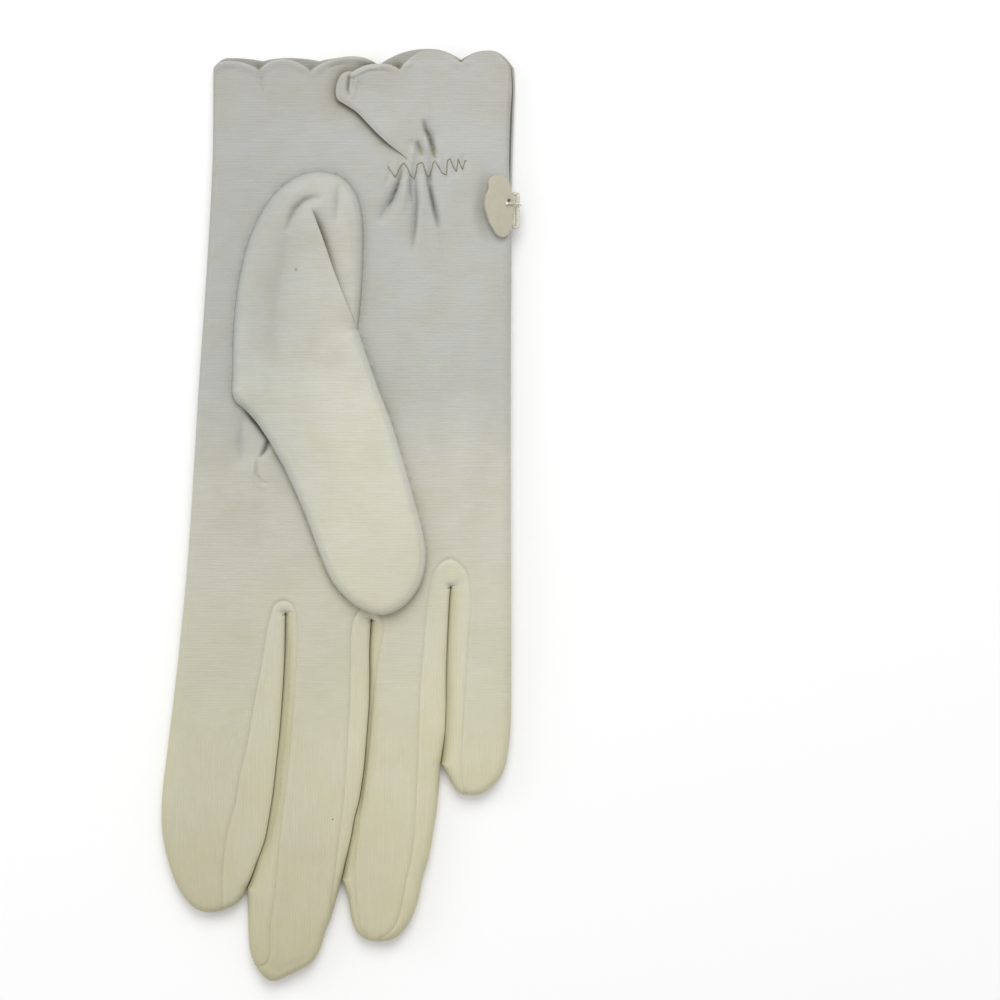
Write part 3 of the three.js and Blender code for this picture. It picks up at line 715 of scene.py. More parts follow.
# The thumb's hole is left out of the palm layer, and the two layers are welded at the shut edges.
hole_faces = is_inside(palm["places"][palm["faces"]].mean(axis=1), thumb_hole)
palm_points, palm_faces = pleated(
    np.column_stack([palm["places"], palm_z]), palm["faces"][~hole_faces], flap_corners,
    low=flap_low, depth=2.4 * flap_share[flap_corners], open_start=True)
welded = np.arange(len(back["places"])) + len(palm_points)
welded[back["outline"][:len(shut_line)]] = palm["outline"][:len(shut_line)]
hand_points = np.vstack([palm_points, np.column_stack([back["places"], back_z])])
hand_faces = np.vstack([palm_faces, welded[back["faces"]][:, ::-1]])

# The cloth is yellowed near the fingers' edges and darker along its seams. Painted shade yellows and
# darkens it where one finger sinks under the next, in a strip on the middle finger, in its folds, in and
# beside the pleat of the cuff's fold and inside the cuff. Painted shade also greys it in those folds and
# that pleat and along its edges near the cuff, and a painted shadow greys it under the button's raised
# edge.
x, y = palm["places"].T
sunk_edge = np.isclose(palm_sides[1], GENTLE)[palm_sides[0].near(palm["places"])[2]]
palm_soil_and_shade = 0.3 * bell(palm_edge, 1.7) * np.clip((-10 - y) / 30, 0.4, 1)
# Painted shade where one finger sinks under the next, and in a strip on the middle finger.
palm_soil_and_shade += np.where(sunk_edge, 0.5 * bell(palm_edge, 2.2), 0)
palm_soil_and_shade += 0.55 * painted_shade_line(palm["places"], PAINTED_SHADE_STRIP, 1.1)
palm_soil_and_shade = np.minimum(palm_soil_and_shade, 0.66)
# The seams are darker, and the crease cores get painted shade.
palm_soil_and_shade += 0.1 * bell(palm_seam, 0.4) + 0.25 * palm_core
palm_soil_and_shade += painted_shadow_below(flap_distance, flap_share, 0.4, 1.6)
# Painted shade in the folds, along the edges near the cuff, under the button's raised edge and under the
# cuff's fold.
palm_painted_shade = 0.1 * np.clip(-palm_fold, 0, 2) + 0.38 * palm_core
palm_painted_shade += 0.25 * bell(palm_edge, 0.6) * np.clip((y - 20) / 60, 0, 1)
palm_painted_shade += 0.45 * painted_shade_line(palm["places"], BUTTON_PAINTED_SHADOW, 1.5)
palm_painted_shade += painted_shadow_below(flap_distance, flap_share, 0.85, 1.1)
# Painted shade inside the cuff, on the back layer.
back_soil_and_shade = 0.08 * np.clip((back["places"][:, 1] - 105) / 4, 0, 1)
back_shade_and_stain = np.zeros(len(back["places"]))
for spot_x, spot_y, size, strength in STAIN_AND_SHADE_SPOTS:
    palm_soil_and_shade += 0.6 * strength * spot(palm["places"], (spot_x, spot_y), size)
    on_back = strength * spot(back["places"], (spot_x, spot_y), size)
    back_soil_and_shade += 0.6 * on_back
    back_shade_and_stain += on_back * (strength > 0.5)
# Painted shade inside the pleat.
under = np.full(len(palm_points) - len(palm_z), PLEAT_PAINTED_SHADE)
marks = {
    "soil_and_painted_shade": np.concatenate([palm_soil_and_shade, under, back_soil_and_shade]),
    "painted_shade_and_stain": np.concatenate([palm_painted_shade, under, back_shade_and_stain]),
}
slim = np.zeros(len(hand_points), bool)
slim[:len(palm_z)] = np.abs(palm_fold) > 0.5
slim[flap_corners] = True
slim[len(palm_z):len(palm_points)] = True
middles = hand_points[hand_faces].mean(axis=1)[:, :2]
strip_of = np.full(len(hand_faces), "trank", dtype=object)
for name, line in seams.items():
    strip_of[is_inside(middles, np.vstack([line, STRIP_CLOSINGS[name]]))] = name

trank = cloth_piece("trank_cloth", hand_points, hand_faces[strip_of == "trank"], marks, slim)


def placed_node(tree, kind, inputs, **settings):
    """A shader node with its settings, whose inputs are set to values or linked to sockets."""
    node = tree.nodes.new(kind)
    for setting, value in settings.items():
        setattr(node, setting, value)
    for socket, value in inputs.items():
        if isinstance(value, bpy.types.NodeSocket):
            tree.links.new(value, node.inputs[socket])
        else:
            node.inputs[socket].default_value = value
    return node


def blended(tree, factor, first, second, kind="MIX"):
    """Two colours blended, each a tuple or a socket."""
    first, second = [(*c, 1) if isinstance(c, tuple) else c for c in (first, second)]
    inputs = {"Factor": factor, "A": first, "B": second}
    return placed_node(tree, "ShaderNodeMix", inputs, data_type="RGBA", blend_type=kind).outputs["Result"]


def clouds(tree, place, scale, detail, roughness=0.5):
    """Soft noise from 0 to 1."""
    inputs = {"Scale": scale, "Detail": detail, "Roughness": roughness, "Vector": place}
    return placed_node(tree, "ShaderNodeTexNoise", inputs).outputs["Fac"]


def in_relief(tree, height, strength, depth):
    """The normal of a surface with a fine relief, whose depth is in millimetres."""
    inputs = {"Strength": strength, "Distance": depth * MM, "Height": height}
    return placed_node(tree, "ShaderNodeBump", inputs).outputs["Normal"]


def knit_group():
    """A node group for fine knitted nylon: ribs, grain and mottling."""
    tree = bpy.data.node_groups.new("fine_knit", "ShaderNodeTree")
    for socket, way, kind in [
            ("Place", "INPUT", "Vector"), ("Upright ribs", "INPUT", "Float"), ("Shade", "OUTPUT", "Float"),
            ("Mottle", "OUTPUT", "Float"), ("Specks", "OUTPUT", "Float"), ("Normal", "OUTPUT", "Vector")]:
        tree.interface.new_socket(socket, in_out=way, socket_type=f"NodeSocket{kind}")
    inward = tree.nodes.new("NodeGroupInput")
    place, upright = inward.outputs["Place"], inward.outputs["Upright ribs"]
    split = placed_node(tree, "ShaderNodeSeparateXYZ", {0: place})

    def maths(kind, *values):
        return placed_node(tree, "ShaderNodeMath", dict(enumerate(values)), operation=kind).outputs[0]

    def turned(level, upright_one):
        inputs = {"Factor": upright, "A": level, "B": upright_one}
        return placed_node(tree, "ShaderNodeMix", inputs).outputs["Result"]

    turns_per_metre = 2 * math.pi / (RIB_PITCH * MM)
    waver = maths("MULTIPLY", clouds(tree, place, 260, 2), 5.0)
    level_rib, upright_rib = [
        maths("SINE", maths("MULTIPLY_ADD", split.outputs[axis], turns_per_metre, waver)) for axis in "YX"]
    grain = maths("SUBTRACT", clouds(tree, place, 2600, 3, 0.6), 0.5)
    drawn = placed_node(tree, "ShaderNodeCombineXYZ", {
        "X": maths("MULTIPLY", turned(split.outputs["X"], split.outputs["Y"]), 0.10),
        "Y": turned(split.outputs["Y"], split.outputs["X"]),
    }).outputs["Vector"]
    streak = maths("SUBTRACT", clouds(tree, drawn, 1500, 3), 0.5)
    ribbed = maths("MULTIPLY_ADD", turned(level_rib, upright_rib), 0.4, maths("MULTIPLY", streak, 3.0))
    relief = maths("MULTIPLY_ADD", grain, 2.0, ribbed)
    dots = placed_node(tree, "ShaderNodeTexVoronoi", {"Scale": 110, "Vector": place})
    lucky = placed_node(tree, "ShaderNodeSeparateColor", {0: dots.outputs["Color"]})
    small = maths("LESS_THAN", dots.outputs["Distance"], maths("MULTIPLY", lucky.outputs["Green"], 0.045))
    rare = maths("GREATER_THAN", lucky.outputs["Red"], 0.72)
    placed_node(tree, "NodeGroupOutput", {
        "Shade": maths("MULTIPLY_ADD", relief, 0.042, 1.0),
        "Mottle": clouds(tree, place, 95, 3, 0.55),
        "Specks": maths("MULTIPLY", small, rare),
        "Normal": in_relief(tree, relief, 0.25, 0.06),
    })
    return tree


fine_knit = knit_group()


def knit_cloth(name, tones, ribs_turn, left, right):
    """Knitted nylon whose colour changes along the hand, from a table of place and colour, and
    across it from a left to a right place and tint, which paint shade and light. Its ribs turn upright
    below one place."""
    material, tree, shader = shader_of(name, {
        "Roughness": 0.82, "Sheen Weight": 0.05, "Specular IOR Level": 0.25, "Subsurface Weight": 0.2,
        "Subsurface Radius": (1.0, 0.8, 0.5), "Subsurface Scale": 1.0 * MM,
    })
    place = tree.nodes.new("ShaderNodeTexCoord").outputs["Object"]
    split = placed_node(tree, "ShaderNodeSeparateXYZ", {0: place})

    def ramp(source, low, high, kind="SMOOTHSTEP"):
        inputs = {"From Min": low, "From Max": high, "Value": source}
        return placed_node(tree, "ShaderNodeMapRange", inputs, interpolation_type=kind).outputs["Result"]

    def mark(name):
        return placed_node(tree, "ShaderNodeAttribute", {}, attribute_name=name).outputs["Fac"]

    turned = ramp(split.outputs["Y"], ribs_turn * MM, (ribs_turn - RIBS_TURN_OVER) * MM)
    knit = placed_node(tree, "ShaderNodeGroup", {}, node_tree=fine_knit)
    tree.links.new(place, knit.inputs["Place"])
    tree.links.new(turned, knit.inputs["Upright ribs"])
    mottle = knit.outputs["Mottle"]
    drift = placed_node(tree, "ShaderNodeMath", {0: mottle, 1: TONE_DRIFT * MM, 2: split.outputs["Y"]},
                        operation="MULTIPLY_ADD").outputs[0]
    along = ramp(drift, TONE_FOOT * MM, TONE_HEAD * MM, "LINEAR")
    toned = placed_node(tree, "ShaderNodeValToRGB", {"Fac": along})
    toned.color_ramp.interpolation = "EASE"
    stops = toned.color_ramp.elements
    while len(stops) < len(tones):
        stops.new(0.5)
    for stop, (y, tone) in zip(stops, tones):
        stop.position = (y + TONE_DRIFT / 2 - TONE_FOOT) / (TONE_HEAD - TONE_FOOT)
        stop.color = (*tone, 1)
    colour = toned.outputs["Color"]
    colour = blended(tree, ramp(mottle, 0.35, 0.75), colour,
                     blended(tree, 1.0, colour, (0.97, 0.955, 0.90), "MULTIPLY"))
    across = ramp(split.outputs["X"], left[0] * MM, right[0] * MM)
    colour = blended(tree, 1.0, colour, blended(tree, across, left[1], right[1]), "MULTIPLY")
    # The first mark yellows and darkens the colour, as real soil and as painted shade; the second greys it,
    # mostly as painted shade and over a few real stains.
    soil_and_painted_shade = mark("soil_and_painted_shade")
    for low, high, strength, soil_and_shade_tone in [
            (0.0, 0.6, 0.5, (0.48, 0.445, 0.25)), (0.5, 1.0, 0.75, (0.16, 0.145, 0.07))]:
        colour = blended(tree, ramp(soil_and_painted_shade, low, high), colour, blended(tree, strength, colour, soil_and_shade_tone))
    shaded_and_stained = blended(tree, 1.0, colour, (0.50, 0.495, 0.465), "MULTIPLY")
    colour = blended(tree, mark("painted_shade_and_stain"), colour, shaded_and_stained)
    colour = blended(tree, knit.outputs["Specks"], colour, (0.14, 0.12, 0.08))
    shade = placed_node(tree, "ShaderNodeCombineColor", {
        channel: knit.outputs["Shade"] for channel in ("Red", "Green", "Blue")}).outputs["Color"]
    colour = blended(tree, 1.0, colour, shade, "MULTIPLY")
    tree.links.new(colour, shader.inputs["Base Color"])
    tree.links.new(knit.outputs["Normal"], shader.inputs["Normal"])
    return material


# Where the tables of tones begin and end along the hand, and how far the mottling moves them.
TONE_FOOT, TONE_HEAD, TONE_DRIFT = -120, 120, 26
RIBS_TURN_OVER = 12
HAND_TONES = [
    (-117, (0.560, 0.522, 0.360)), (-95, (0.582, 0.550, 0.395)), (-65, (0.612, 0.592, 0.440)),
    (-25, (0.595, 0.580, 0.470)), (-2, (0.570, 0.565, 0.483)), (38, (0.478, 0.482, 0.450)),
    (90, (0.470, 0.473, 0.448)), (110, (0.450, 0.448, 0.422)),
]
# Across the hand the colour is darkened towards the left as painted shade and lightened towards the right
# as painted light.
HAND_PAINTED_SHADE_LEFT = (-38, (0.92, 0.925, 0.935))
HAND_PAINTED_LIGHT_RIGHT = (32, (1.03, 1.03, 1.03))
trank.data.materials.append(knit_cloth("palm_knit", HAND_TONES, -45, HAND_PAINTED_SHADE_LEFT, HAND_PAINTED_LIGHT_RIGHT))
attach(trank, "root")
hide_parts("trank")


# Fourchettes: three narrow side strips that run down one finger, round the crotch and down the
# next finger. Their seams sink between bright edges. They are cut from the same knit, and they
# share their seam lines with the trank.
STRIP_FLAT = {
    "fourchette_index_middle": ((0.016, 0.170), 0.0024),
    "fourchette_middle_ring": ((0.010, 0.160), 0.0013),
    "fourchette_ring_little": ((0.016, 0.150), 0.0021),
}
finger_knit = knit_cloth("finger_knit", [
    (-117, (0.560, 0.522, 0.355)), (-90, (0.600, 0.570, 0.408)), (-50, (0.630, 0.610, 0.455)),
    (-20, (0.625, 0.613, 0.490)),
], -20, HAND_PAINTED_SHADE_LEFT, HAND_PAINTED_LIGHT_RIGHT)
for name, (flat, area) in STRIP_FLAT.items():
    strip = cloth_piece(f"{name}_cloth", hand_points, hand_faces[strip_of == name], marks, slim)
    strip.data.materials.append(finger_knit)
    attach(strip, "root")
    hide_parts(name)


# Thumb: one folded cloth, sewn to the palm along its arched base seam and lying free over the
# palm below that. A welt seam shows inside its tip, and a fold runs up from the seam's right foot.
THUMB_BASE = [
    (4.4, 46.6), (5.3, 55.5), (5.7, 64.5), (5.5, 74.6), (4.1, 80.1), (0.6, 84.4), (-4.8, 85.9),
    (-10.1, 85.0), (-16.4, 80.5), (-21.7, 72.1), (-25.4, 59.1), (-26.8, 46.6), (-27.1, 35),
    (-27.3, 31.5),
]
THUMB_FREE = [
    (-27.3, 31.5), (-26.2, 28.4), (-24.1, 26.6), (-21.4, 23.7), (-18.0, 18.8), (-16.2, 15.6),
    (-14.5, 12.7), (-12.0, 7.5), (-9.2, 1.2), (-7.0, -4.6), (-4.8, -10.5), (-2.1, -16.4),
    (0.6, -19.8), (3.7, -22.5), (7.3, -24.4), (10.4, -25), (13.1, -24.3), (16.2, -22.4),
    (19.2, -18.7), (20.8, -14.5), (21.4, -10), (20.7, -4.6), (18.6, 3.4), (16.6, 10.5),
    (12.9, 22.6), (9.5, 31.6), (6.7, 39.4), (4.4, 46.6),
]
THUMB_FOLD = [
    (3.9, 47.4), (3.2, 49.2), (0.6, 55.5), (-1.6, 61.1), (-3.9, 67.8), (-5.5, 72.2), (-7.0, 76.2),
]
THUMB_CREASES = [
    ([(-12.6, 73), (-14.2, 62), (-16.0, 52), (-16.5, 42), (-15.8, 30)], 1.1, 2.6, 2.4),
    ([(-4.4, 79.2), (-6.9, 79.2), (-9.2, 78.4), (-11.2, 76.4), (-12.6, 73.6), (-13.6, 70.4)],
     1.4, 1.2, 0.7),
    ([(-0.6, 83), (-0.9, 78), (-1.4, 72)], 0.9, 1.2, 1.0),
    ([(-7.8, 82.4), (-11.4, 80.2), (-14.8, 75.6)], -0.3, 1.6, 1.6),
    ([(-22, 40), (-20.4, 52), (-17.5, 62)], 0.2, 2.4, 2.4),
    ([(2.6, 58), (2.6, 66), (1.6, 74)], -0.3, 1.3, 1.3),
    ([(-6.5, 20), (-1.2, 6), (4.4, -6)], 0.3, 3.0, 3.0),
]
THUMB_FINE = [(-18, 60, 5, 86, 0.4)]
THUMB_SPOT = (-11.0, 61.2)  # a small dark speck
THUMB_TOP = 9.9
THUMB_ROOT_TOP = 9.5
THUMB_ROOT_START = 36
THUMB_FLOOR = 7.0  # height of its lower layer, just above the palm
THUMB_EDGE = 7.5
BASE_ROUND, FREE_ROUND = 8.0, 4.4  # how far from its seam and its free edge it reaches its height
SLIM_EDGE = 1.8  # how far in from its edge the two layers are too close for a full wall

thumb_base = flowing(THUMB_BASE, STEP)
thumb_free = flowing(THUMB_FREE, STEP)
base_level = palm_height(thumb_base)[0] + 0.1
# The free edge leaves the level of the seam's two ends over its first and last 16 corners.
free_level = np.full(len(thumb_free), THUMB_EDGE)
ease = np.clip(np.arange(len(thumb_free)) / 16, 0, 1)
free_level = base_level[-1] + (free_level - base_level[-1]) * ease
free_level = base_level[0] + (free_level - base_level[0]) * ease[::-1]
thumb_line, thumb_round, thumb_level = joined_edges([
    (thumb_base, BASE_ROUND, base_level), (thumb_free, FREE_ROUND, free_level)])
thumb_cut = flowing(THUMB_FOLD, STEP)
thumb_top = plan_of(thumb_line, [thumb_cut], fine=THUMB_FINE, **SHOWN)
thumb_low = plan_of(thumb_line, [thumb_hole], spacing=1.6, line_rings=(0.5,), **BELOW)
thumb_near = NearLines([np.vstack([thumb_line, thumb_line[:1]])])


def thumb_heights(points, top, tight):
    """Heights of one of the thumb's layers, and the distance from its edge."""
    distance, _, corner = thumb_near.near(points)
    corner = corner % len(thumb_line)
    level, roundness = thumb_level[corner], thumb_round[corner]
    softer = np.where(roundness > FREE_ROUND, 1.5, 1.0)
    return level + (top - level) * rounded(distance, np.minimum(roundness, tight)) ** softer, distance


places = thumb_top["places"]
root = 1 / (1 + np.exp(-(places[:, 1] - THUMB_ROOT_START) / 8))
top = THUMB_TOP - (THUMB_TOP - THUMB_ROOT_TOP) * root
top += 0.14 * np.sin(places[:, 0] / 5.2 + places[:, 1] / 9 + 0.6) * np.sin(places[:, 1] / 10.5)
thumb_z, thumb_edge = thumb_heights(places, top, 9.0)
thumb_z = smoothed(thumb_z, thumb_top["faces"], thumb_edge > SMOOTHED_FROM, 12)
thumb_fold, thumb_core = creased(places, THUMB_CREASES) * np.clip(thumb_edge / 2, 0, 1)
base_seam, _, _ = NearLines([thumb_base]).near(places)
tip_seam = bell(thumb_edge - 1.3, 0.22) * np.clip((-4 - places[:, 1]) / 4, 0, 1)
thumb_z += thumb_fold - 0.35 * tip_seam
fold_corners = thumb_top["lines"][0]
fold_distance, fold_place = along_line(places, thumb_cut)
fold_distance[fold_corners] = 0
fold_share = np.clip(fold_place / 0.75, 0, 1) ** 1.3 * np.clip((1 - fold_place) / 0.15, 0, 1) ** 0.6
thumb_z, fold_low = lapped(thumb_z, fold_distance, fold_share, fold_corners, rise=(0.5, 4),
                           dip=(1.5, 1.8), rolled=(0.4, 0.6))
top_points, top_faces = pleated(
    np.column_stack([places, thumb_z]), thumb_top["faces"], fold_corners,
    low=fold_low, depth=1.4 * fold_share[fold_corners], open_start=False)
low_z, low_edge = thumb_heights(thumb_low["places"], THUMB_FLOOR, 3.0)
low_faces = thumb_low["faces"]
low_faces = low_faces[~is_inside(thumb_low["places"][low_faces].mean(axis=1), thumb_hole)]
welded = np.arange(len(low_z)) + len(top_points)
welded[thumb_low["outline"]] = thumb_top["outline"]
thumb_points = np.vstack([top_points, np.column_stack([thumb_low["places"], low_z])])
thumb_faces = np.vstack([top_faces, welded[low_faces][:, ::-1]])
# The speck is a real stain and the seams are darker. Painted shade lies in the creases, along the base
# seam, under the fold's upper side and inside the pleat.
speck = spot(places, THUMB_SPOT, 0.34)
thumb_soil_and_shade = 0.4 * tip_seam + 0.2 * bell(base_seam, 0.4) + speck
thumb_soil_and_shade += painted_shadow_below(fold_distance, fold_share, 0.5, 0.9)
thumb_shade_and_stain = 0.1 * np.clip(-thumb_fold, 0, 2) + 0.22 * thumb_core + 0.8 * speck
thumb_shade_and_stain += 0.6 * bell(base_seam, 0.45) + painted_shadow_below(fold_distance, fold_share, 0.9, 1.1)
# Painted shade inside the pleat.
under = np.full(len(top_points) - len(places), PLEAT_PAINTED_SHADE)
thumb_marks = {
    "soil_and_painted_shade": np.concatenate([thumb_soil_and_shade, under, np.zeros(len(low_z))]),
    "painted_shade_and_stain": np.concatenate([thumb_shade_and_stain, under, np.zeros(len(low_z))]),
}
thumb_slim = np.concatenate([
    thumb_edge < SLIM_EDGE, np.ones(len(under), bool), low_edge < SLIM_EDGE])
thumb_slim[fold_corners] = True

# The palm's cloth has a painted shadow beside the thumb's seam and edge.
beside_thumb = np.array([corner.co[:2] for corner in trank.data.vertices]) / MM
from_thumb, _, _ = thumb_near.near(beside_thumb)
trank_shade_and_stain = np.array([mark.value for mark in trank.data.attributes["painted_shade_and_stain"].data])
trank_shade_and_stain += np.where(is_inside(beside_thumb, thumb_line), 0, 0.42 * np.exp(-from_thumb / 0.7))
trank.data.attributes["painted_shade_and_stain"].data.foreach_set("value", np.clip(trank_shade_and_stain, 0, 1).astype(np.float32))

thumb = cloth_piece("thumb_cloth", thumb_points, thumb_faces, thumb_marks, thumb_slim)
# The thumb's colour is darkened and greyed towards the left as painted shade, and lightened towards the
# right as painted light.
thumb.data.materials.append(knit_cloth("thumb_knit", [
    (-25, (0.585, 0.566, 0.467)), (0, (0.588, 0.584, 0.494)), (25, (0.583, 0.583, 0.504)),
    (50, (0.520, 0.520, 0.468)), (86, (0.482, 0.482, 0.446)),
], -60, (-22, (0.91, 0.92, 0.945)), (4, (1.07, 1.07, 1.045))))
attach(thumb, "root")
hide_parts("thumb")


# Elastic stitching: a zigzag of thread across the gathered wrist, which holds a short elastic inside.
# Only the thread shows. Its dark colour also stands for painted shade between the puckers beside it.
ZIGZAG = [
    (11.8, 87.2), (13.7, 84.4), (15.0, 87.2), (15.8, 88.0), (16.8, 86.7), (17.3, 85.2), (18.3, 84.0),
    (18.9, 85.5), (19.2, 87.6), (20.0, 88.1), (20.6, 88.0), (21.4, 85.2), (22.1, 84.6), (22.7, 86.1),
    (23.2, 88.0), (23.6, 88.6), (24.2, 87.6), (25.4, 85.5), (26.5, 85.0), (26.7, 88.6), (27.4, 89.1),
    (28.2, 87.0), (29.0, 85.9), (29.4, 89.1), (30.5, 86.3), (31.1, 88.6), (31.9, 88.5),
]
STITCH_THREAD = 0.26
STITCH_STEP = 0.35
STITCH_LIFT = 0.05  # from the cloth to the middle of the thread
LUMP_CORNERS = 4  # from one thick place of a lumpy thread to the next


def surface_of(piece):
    """A tree for ray casts on a piece."""
    mesh = piece.data
    corners = [corner.co.copy() for corner in mesh.vertices]
    return BVHTree.FromPolygons(corners, [tuple(face.vertices) for face in mesh.polygons])


def thread_tube(name, route, diameter, lumps=0.0):
    """A round thread along a route of points in metres, thicker and thinner in turn by a share of
    lumps."""
    curve = bpy.data.curves.new(name, "CURVE")
    curve.dimensions = "3D"
    curve.bevel_depth = diameter / 2 * MM
    curve.bevel_resolution = 3
    curve.use_fill_caps = True
    line = curve.splines.new("POLY")
    line.points.add(len(route) - 1)
    for number, (point, place) in enumerate(zip(line.points, route)):
        point.co = (*place, 1)
        point.radius = 1 - lumps * (0.5 + 0.5 * math.sin(2 * math.pi * number / LUMP_CORNERS))
    thread = new_object(name, curve)
    only(thread)
    bpy.ops.object.convert(target="MESH")
    thread.data.shade_smooth()
    thread.select_set(False)
    return thread


def spun_thread(name, colour, darker):
    """Twisted thread in one colour with darker plies."""
    material, tree, shader = shader_of(name, {"Roughness": 0.75})
    place = tree.nodes.new("ShaderNodeTexCoord").outputs["Object"]
    plies = placed_node(tree, "ShaderNodeTexWave", {"Scale": 900, "Distortion": 3, "Vector": place},
                        wave_type="BANDS", bands_direction="DIAGONAL").outputs["Fac"]
    tree.links.new(blended(tree, plies, darker, colour), shader.inputs["Base Color"])
    tree.links.new(in_relief(tree, plies, 0.6, 0.05), shader.inputs["Normal"])
    return material


trank_surface = surface_of(trank)
fine_zigzag = []
for a, b in zip(ZIGZAG[:-1], ZIGZAG[1:]):
    for share in np.linspace(0, 1, max(2, round(math.dist(a, b) / STITCH_STEP)), endpoint=False):
        fine_zigzag.append(((a[0] + (b[0] - a[0]) * share) * MM, (a[1] + (b[1] - a[1]) * share) * MM))
stitch_route = []
for x, y in fine_zigzag:
    hit = trank_surface.ray_cast(Vector((x, y, 0.03)), Vector((0, 0, -1)))[0]
    stitch_route.append((x, y, hit.z + STITCH_LIFT * MM))
stitching = thread_tube("elastic_stitching", stitch_route, STITCH_THREAD)
# Dark thread colour, partly painted shade of the puckers along the stitching.
stitching.data.materials.append(spun_thread("stitch_thread_painted_shade", (0.33, 0.31, 0.21), (0.18, 0.165, 0.10)))
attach(stitching, "root")
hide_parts("trank")


# Button: a flat oval of yellowed cream plastic with a scalloped rim and a sewing hole near the
# vent. Its edge away from the vent stands up off the cloth.
BUTTON_PLACE = (39.4, 77, 7.3)
BUTTON_TILT = math.radians(22)
BUTTON_THICKNESS = 1.0
BUTTON_RIM = [
    (4.0, -0.5), (3.95, 2.0), (3.5, 4.2), (2.7, 6.4), (1.4, 7.5), (0.3, 7.8), (-1.5, 7.55),
    (-2.5, 6.3), (-2.55, 4.4), (-3.35, 2.6), (-3.6, 1.2), (-3.6, -0.2), (-2.9, -2.4), (-2.3, -4.1),
    (-1.5, -5.4), (-0.4, -7.0), (1.2, -7.6), (2.5, -6.9), (3.3, -5.6), (3.9, -4.2), (3.7, -2.4),
]
BUTTON_HOLE = (2.8, 1.6)
HOLE_RADIUS = 0.45
RIM_BEVEL = 0.22

rim = flowing(BUTTON_RIM + BUTTON_RIM[:1], 0.35)[:-1]
bpy.ops.mesh.primitive_cylinder_add(vertices=len(rim), radius=1, depth=1, end_fill_type="NGON")
button = bpy.context.object
button.name = "scalloped_button"
by_angle = sorted(button.data.vertices, key=lambda v: math.atan2(v.co.y, v.co.x) % (2 * math.pi))
for number, corner in enumerate(by_angle):
    place = rim[number // 2]
    corner.co = (place[0] * MM, place[1] * MM, corner.co.z * BUTTON_THICKNESS * MM)
bpy.ops.mesh.primitive_cylinder_add(vertices=24, radius=HOLE_RADIUS * MM, depth=4 * MM,
                                    location=(BUTTON_HOLE[0] * MM, BUTTON_HOLE[1] * MM, 0))
drill = bpy.context.object
only(button)
applied(button, "sewing_hole", "BOOLEAN", object=drill, operation="DIFFERENCE")
bpy.data.objects.remove(drill)
applied(button, "soft_rim", "BEVEL", width=RIM_BEVEL * MM, segments=3, limit_method="ANGLE")
for corner in button.data.vertices:
    x, y, z = corner.co
    corner.co = (
        BUTTON_PLACE[0] * MM + x * math.cos(BUTTON_TILT) + z * math.sin(BUTTON_TILT),
        BUTTON_PLACE[1] * MM + y,
        BUTTON_PLACE[2] * MM - x * math.sin(BUTTON_TILT) + z * math.cos(BUTTON_TILT),
    )
bpy.ops.object.shade_smooth_by_angle(angle=math.radians(35))
button.select_set(False)


def aged_plastic(name, light, dark):
    """Cream plastic that has yellowed in clouds, with fine scratches."""
    material, tree, shader = shader_of(name, {})
    place = tree.nodes.new("ShaderNodeTexCoord").outputs["Object"]
    scratches = clouds(tree, place, 2600, 2)
    roughness = placed_node(tree, "ShaderNodeMapRange", {"To Min": 0.5, "To Max": 0.75, "Value": scratches})
    for socket, value in (
            ("Base Color", blended(tree, clouds(tree, place, 420, 4), dark, light)),
            ("Roughness", roughness.outputs["Result"]),
            ("Normal", in_relief(tree, scratches, 0.15, 0.03))):
        tree.links.new(value, shader.inputs[socket])
    return material


button.data.materials.append(aged_plastic("yellowed_plastic", (0.53, 0.505, 0.40), (0.44, 0.416, 0.31)))
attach(button, "root")
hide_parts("button")


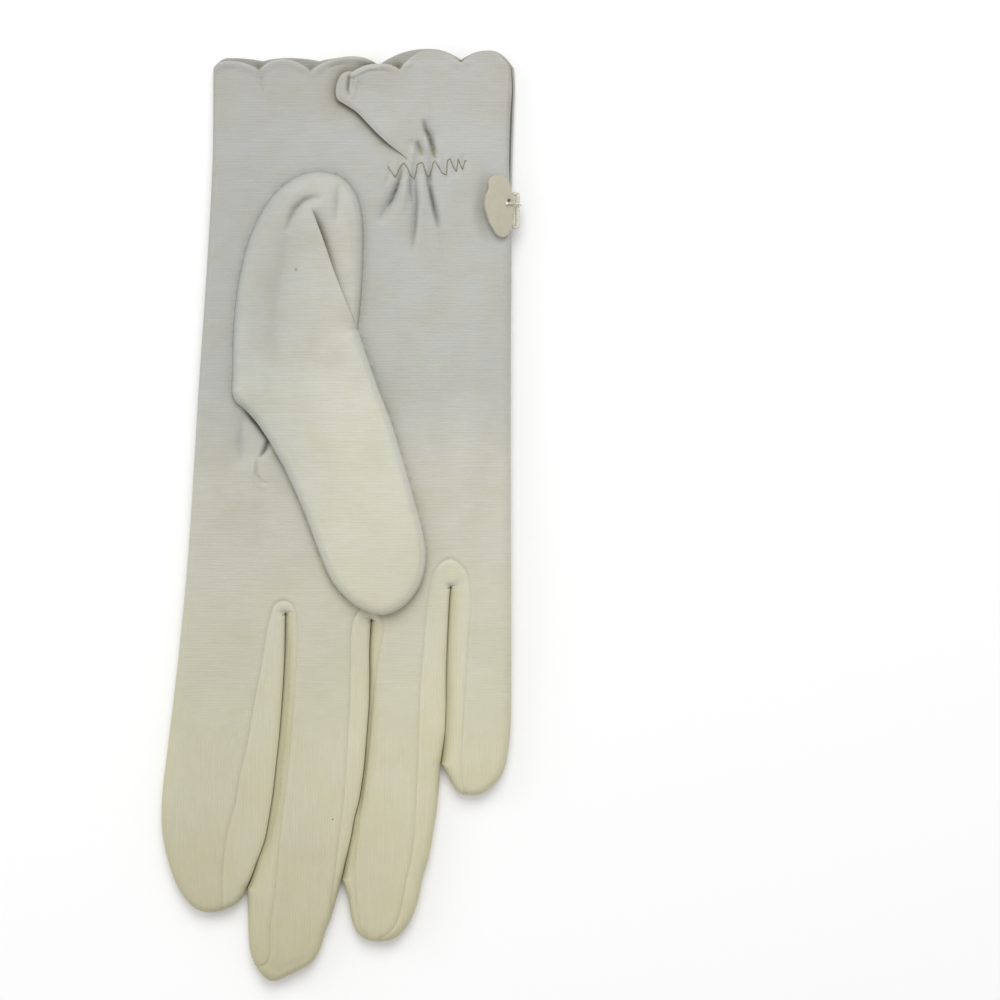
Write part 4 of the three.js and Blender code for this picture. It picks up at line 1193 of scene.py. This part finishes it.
# Button loop: a narrow loop of thick cord that lies flat at the vent's edge beside the button.
LOOP_PLACE = (43.8, 76.2, 4.6)
LOOP_WIDTH = 2.3
LOOP_LENGTH = 9.5
LOOP_CORD = 1.12
LOOP_CORNERS = 64

bend = (LOOP_WIDTH - LOOP_CORD) / 2
straight = (LOOP_LENGTH - LOOP_CORD) / 2 - bend
loop_route = []
# The loop is two straight runs and two bends, pinched a little above its middle.
for i in range(LOOP_CORNERS):
    angle = 2 * math.pi * i / LOOP_CORNERS
    y = bend * math.sin(angle) + math.copysign(straight, math.sin(angle)) * min(1, abs(math.sin(angle)) * 3)
    x = bend * math.cos(angle) * (1 - 0.25 * math.exp(-((y - 1.2) / 1.4) ** 2))
    loop_route.append(((LOOP_PLACE[0] + x) * MM, (LOOP_PLACE[1] + y) * MM, LOOP_PLACE[2] * MM))
loop_route.append(loop_route[0])
loop = thread_tube("cord_loop", loop_route, LOOP_CORD, lumps=0.18)
loop.data.materials.append(spun_thread("loop_cord", (0.80, 0.79, 0.70), (0.56, 0.54, 0.42)))
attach(loop, "root")
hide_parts("button_loop")


# Button thread: one short thread from the button's hole to the loop, with a knot at each end.
THREAD_ENDS = [(41.6, 77.8, 7.25), (45.1, 77.7, 5.05)]
THREAD_DIAMETER = 0.42
THREAD_BOW = 0.35  # how far it arches over the button's edge
KNOT_RADIUS = 0.38

route = []
for share in np.linspace(0, 1, 13):
    a, b = THREAD_ENDS
    bow = THREAD_BOW * math.sin(math.pi * share)
    route.append(tuple((a[k] + (b[k] - a[k]) * share + (bow if k == 2 else 0)) * MM for k in range(3)))
thread = thread_tube("sewing_thread", route, THREAD_DIAMETER)
thread.data.materials.append(spun_thread("button_thread", (0.66, 0.64, 0.56), (0.42, 0.40, 0.30)))
knots = []
for x, y, z in THREAD_ENDS:
    bpy.ops.mesh.primitive_uv_sphere_add(segments=16, ring_count=10, radius=KNOT_RADIUS * MM,
                                         location=(x * MM, y * MM, z * MM))
    knots.append(bpy.context.object)
    knots[-1].data.shade_smooth()
only(thread)
for knot in knots:
    knot.select_set(True)
bpy.ops.object.join()
thread.select_set(False)
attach(thread, "root")
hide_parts("button_thread")
